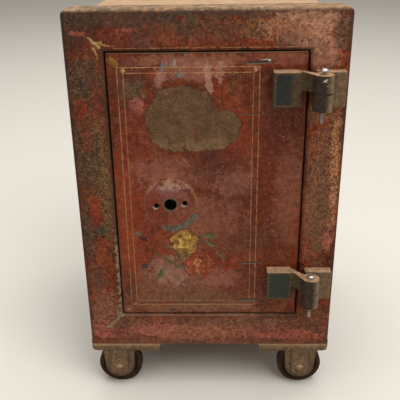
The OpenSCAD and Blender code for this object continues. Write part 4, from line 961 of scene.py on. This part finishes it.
woodAlong = makeWood("cabinetWoodLengthwise", (1.0, 0.1, 1.0))
woodUpright = makeWood("cabinetWoodUpright", (1.0, 1.0, 0.1))
woodAcross = makeWood("cabinetWoodAcross", (0.1, 1.0, 1.0))
fireFilling = makeFilling()
print("materials built")

dressing = [
    (frontEnamel, ["front_frame"]),
    (doorEnamel, ["door_plate"]),
    (bodyEnamel, ["back_frame", "back_plate", "outer_shell"]),
    (hingePaint, ["frame_hinge_upper", "frame_hinge_lower", "door_hinge_upper", "door_hinge_lower"]),
    (wheelIron, ["wheel_front_left", "wheel_front_right", "wheel_back_left", "wheel_back_right"]),
    (axleIron, ["wheel_axles"]),
    (darkIron, ["tie_rod_nuts", "frame_hinge_studs", "door_hinge_studs", "bolt_guides", "lock_plate"]),
    (innerPaint, ["inner_liner", "door_pan"]),
    (panelPaint, ["inner_panel"]),
    (boltSteel, ["locking_bolts", "tie_rods"]),
    (leverSteel, ["bolt_bar", "fence_lever"]),
    (screwSteel, ["panel_screws", "lock_cover_screws", "lever_screw"]),
    (zincPlate, ["hinge_pin_upper", "hinge_pin_lower"]),
    (tubeBrass, ["spindle_tube"]),
    (lockBrass, ["lock_case", "lock_cover", "combination_wheel_1",
                 "combination_wheel_2", "combination_wheel_3", "drive_cam"]),
    (woodAlong, ["cabinet_bottom", "cabinet_top", "cabinet_left", "cabinet_right"]),
    (woodUpright, ["cabinet_back", "cabinet_divider"]),
    (woodAcross, ["cabinet_shelf"]),
    (fireFilling, ["insulation_fill", "door_fill"]),
]
for material, names in dressing:
    for name in names:
        for slot in cadNodes[name].material_slots:
            slot.material = material
print("CAD nodes dressed")


# New pieces

def addObject(name, data):
    made = bpy.data.objects.new(name, data)
    bpy.context.collection.objects.link(made)
    return made


def addMesh(name, mesh, material=None):  # the bmesh is used up
    data = bpy.data.meshes.new(name)
    mesh.to_mesh(data)
    mesh.free()
    if material:
        data.materials.append(material)
    return addObject(name, data)


def addPiece(name, mesh, material, body):
    piece = addMesh(name, mesh, material)
    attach(piece, body)
    return piece


def turnBy(mesh, verts, degrees, axis):
    matrix = Matrix.Rotation(math.radians(degrees), 3, axis)
    bmesh.ops.rotate(mesh, cent=(0, 0, 0), matrix=matrix, verts=verts)


def carve(piece, cutters, operation="DIFFERENCE"):
    cutter = addMesh("cutter", cutters)
    modifier = piece.modifiers.new("cut", "BOOLEAN")
    modifier.object = cutter
    modifier.operation = operation
    modifier.solver = "EXACT"
    bpy.context.view_layer.update()
    evaluated = piece.evaluated_get(bpy.context.evaluated_depsgraph_get())
    result = bpy.data.meshes.new_from_object(evaluated)
    piece.modifiers.remove(modifier)
    piece.data = result
    bpy.data.objects.remove(cutter)


# Thread, tip, head with its chamfer and rim, and the cross recess
hingeScrew = {
    "pitch": 0.0008, "outer": 0.0025, "core": 0.00205, "crest": (0.45, 0.6), "tipBevel": 0.0007,
    "tipStep": 0.0006, "headRadius": 0.00525, "headHeight": 0.0044, "headChamfer": (0.0003, 0.0004),
    "rim": 0.0009, "domeRows": 7, "recess": 0.0011, "recessReach": 0.0029, "recessDepth": 0.0026,
    "recessPast": 0.0002, "recessTurns": (20, 110), "recessTaper": (0.45, 0.8, 1.0), "steps": 28,
}


def spun(mesh, points, steps):  # full turn about Z of a line of (radius, height) points
    verts = [mesh.verts.new((r, 0, z)) for r, z in points]
    edges = [mesh.edges.new(pair) for pair in zip(verts, verts[1:])]
    bmesh.ops.spin(mesh, geom=verts + edges, cent=(0, 0, 0), axis=(0, 0, 1), angle=math.tau,
                   steps=steps, use_merge=True)
    bmesh.ops.remove_doubles(mesh, verts=mesh.verts[:], dist=1e-6)
    bmesh.ops.recalc_face_normals(mesh, faces=mesh.faces[:])


def addHingeScrew(name, node):
    low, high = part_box(node)
    look = hingeScrew
    neck = high.z - look["headHeight"]
    turns = int((neck - low.z - look["tipBevel"]) / look["pitch"])
    points = [(0, 0), (look["core"] - look["tipStep"], 0), (look["core"], look["tipBevel"])]
    for i in range(turns):
        z = look["tipBevel"] + i * look["pitch"]
        points += [(look["outer"], z + look["pitch"] * share) for share in look["crest"]]
        points.append((look["core"], z + look["pitch"]))
    under = neck - low.z
    full = look["headRadius"]
    rim = look["rim"]
    rows = look["domeRows"]
    inwards, upwards = look["headChamfer"]
    points += [(look["core"], under), (full - inwards, under), (full, under + upwards)]
    for i in range(1, rows + 1):
        angle = math.pi / 2 * i / rows
        across = full * math.cos(angle) if i < rows else 0
        points.append((across, under + rim + (look["headHeight"] - rim) * math.sin(angle)))
    mesh = bmesh.new()
    spun(mesh, points, look["steps"])
    middle = ((low.x + high.x) / 2, (low.y + high.y) / 2, low.z)
    bmesh.ops.translate(mesh, verts=mesh.verts[:], vec=middle)
    piece = addPiece(name, mesh, zincPlate, "case")
    for turn in look["recessTurns"]:  # the cross recess, narrowing downwards
        cross = bmesh.new()
        bmesh.ops.create_cube(cross, size=1.0)
        bmesh.ops.scale(cross, vec=(2 * look["recessReach"], look["recess"], 2 * look["recessDepth"]),
                        verts=cross.verts[:])
        foot = [v for v in cross.verts if v.co.z < 0]
        bmesh.ops.scale(cross, vec=look["recessTaper"], verts=foot)
        turnBy(cross, cross.verts[:], turn, "Z")
        bmesh.ops.translate(cross, verts=cross.verts[:], vec=(*middle[:2], high.z + look["recessPast"]))
        carve(piece, cross)
    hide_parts(node)


addHingeScrew("hingeScrewUpper", "hinge_pin_upper")
addHingeScrew("hingeScrewLower", "hinge_pin_lower")
print("hinge screws made")


def islandsOf(mesh):  # separate solids of a mesh in a fixed order, each as its vertices
    left = set(mesh.verts)
    islands = []
    for start in mesh.verts:
        if start not in left:
            continue
        left.remove(start)
        island = []
        front = [start]
        while front:
            vert = front.pop()
            island.append(vert)
            near = {edge.other_vert(vert) for edge in vert.link_edges} & left
            left -= near
            front += near
        islands.append(island)
    return islands


def mergedCopy(node):
    mesh = bmesh.new()
    mesh.from_mesh(cadNodes[node].data)
    bmesh.ops.remove_doubles(mesh, verts=mesh.verts[:], dist=1e-6)
    return mesh


def middleOf(verts, axis):
    places = [vert.co[axis] for vert in verts]
    return (min(places) + max(places)) / 2


nutLook = {"corner": 0.0075, "bore": 0.004, "faceShare": 0.95, "slope": 60, "past": 0.001}


def addRounds(mesh, middles, low, high, lowRadius, highRadius, segments):  # prisms or cones along Y
    for x, z in middles:
        made = bmesh.ops.create_cone(mesh, cap_ends=True, segments=segments, radius1=lowRadius,
                                     radius2=highRadius, depth=high - low)["verts"]
        turnBy(mesh, made, 90, "Z")
        turnBy(mesh, made, -90, "X")
        bmesh.ops.translate(mesh, vec=(x, (low + high) / 2, z), verts=made)


def addTieRodNuts(name, node):  # hexagons with chamfered corners
    look = nutLook
    low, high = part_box(node)
    source = mergedCopy(node)
    middles = [(middleOf(island, 0), middleOf(island, 2)) for island in islandsOf(source)]
    source.free()
    mesh = bmesh.new()
    addRounds(mesh, middles, low.y, high.y, look["corner"], look["corner"], 6)
    piece = addPiece(name, mesh, darkIron, "case")
    face = look["corner"] * math.cos(math.pi / 6) * look["faceShare"]
    wide = face + (high.y - low.y + look["past"]) * math.tan(math.radians(look["slope"]))
    chamfers = bmesh.new()
    addRounds(chamfers, middles, low.y - look["past"], high.y, wide, face, 48)
    carve(piece, chamfers, "INTERSECT")
    bores = bmesh.new()
    addRounds(bores, middles, low.y - look["past"], high.y + look["past"], look["bore"], look["bore"], 32)
    carve(piece, bores)
    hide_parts(node)


slotLook = {"width": 0.0009, "depth": 0.0007, "length": 0.03, "turns": (12, 58, -35, 84)}


# The CAD screws with a slot across each head, every slot turned its own way
def addSlottedScrews(name, node, body):
    mesh = mergedCopy(node)
    slots = bmesh.new()
    for island, turn in zip(islandsOf(mesh), slotLook["turns"]):
        top = max(vert.co.y for vert in island)
        made = bmesh.ops.create_cube(slots, size=1.0)["verts"]
        size = (slotLook["length"], 2 * slotLook["depth"], slotLook["width"])
        bmesh.ops.scale(slots, vec=size, verts=made)
        turnBy(slots, made, turn, "Y")
        bmesh.ops.translate(slots, vec=(middleOf(island, 0), top, middleOf(island, 2)), verts=made)
    piece = addPiece(name, mesh, screwSteel, body)
    carve(piece, slots)
    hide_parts(node)


addTieRodNuts("chamferedTieRodNuts", "tie_rod_nuts")
addSlottedScrews("slottedCoverScrews", "lock_cover_screws", "door")
addSlottedScrews("slottedLeverScrew", "lever_screw", "bolt_work")
print("nuts and slotted screws made")


# Floor, light and camera

stageLook = {"floorSize": 16.0, "floor": "dcd6cc", "sky": "efece6", "skyStrength": 0.34}


def makeStage():
    material = bpy.data.materials.new("paleFloor")
    material.use_nodes = True
    bsdf = material.node_tree.nodes["Principled BSDF"]
    bsdf.inputs["Base Color"].default_value = paint(stageLook["floor"])
    bsdf.inputs["Roughness"].default_value = 0.9
    mesh = bmesh.new()
    bmesh.ops.create_grid(mesh, x_segments=2, y_segments=2, size=stageLook["floorSize"] / 2)
    addMesh("paleFloor", mesh, material)
    world = bpy.data.worlds.new("paleRoom")
    bpy.context.scene.world = world
    world.use_nodes = True
    background = world.node_tree.nodes["Background"]
    background.inputs["Color"].default_value = paint(stageLook["sky"])
    drawing["tree"] = world.node_tree
    rays = addNode("LightPath")
    seen = calc("MAXIMUM", rays["Is Camera Ray"], rays["Is Glossy Ray"])
    seen = calc("MAXIMUM", seen, rays["Is Transmission Ray"])
    low = stageLook["skyStrength"]
    feed(background.inputs["Strength"], seen * (1.0 - low) + low)


lamps = {  # place, aim, size, watts
    "windowLight": ((1.2, -1.6, 2.6), (0, 0, 0.3), 1.8, 46),
    "fillLight": ((-1.6, -1.5, 1.4), (0, 0, 0.25), 1.4, 6),
    "ceilingLight": ((0.1, 0.3, 4.0), (0, 0, 0.3), 3.6, 140),
}


def addLamp(name, place, aim, size, watts):
    data = bpy.data.lights.new(name, "AREA")
    data.size = size
    data.energy = watts
    lamp = addObject(name, data)
    lamp.location = place
    lamp.rotation_euler = (Vector(aim) - Vector(place)).to_track_quat("-Z", "Y").to_euler()


cameraLook = {"place": (0.0089, -0.9165, 0.6351), "yaw": -1.49, "pitch": 23.48, "roll": -0.84, "lens": 55.35}


def addCamera():
    yaw, pitch, roll = (math.radians(cameraLook[k]) for k in ("yaw", "pitch", "roll"))
    ahead = Vector((math.sin(yaw) * math.cos(pitch), math.cos(yaw) * math.cos(pitch), -math.sin(pitch)))
    level = Vector((math.cos(yaw), -math.sin(yaw), 0))
    above = level.cross(ahead)
    right = math.cos(roll) * level + math.sin(roll) * above
    up = math.cos(roll) * above - math.sin(roll) * level
    data = bpy.data.cameras.new("photoView")
    data.sensor_width = 36
    data.lens = cameraLook["lens"]
    camera = addObject("photoView", data)
    facing = Matrix((right, up, -ahead)).transposed().to_4x4()
    camera.matrix_world = Matrix.Translation(cameraLook["place"]) @ facing
    bpy.context.scene.camera = camera


makeStage()
for name, values in lamps.items():
    addLamp(name, *values)
addCamera()
bpy.context.scene.view_settings.view_transform = "Standard"
print("stage, light and camera set")
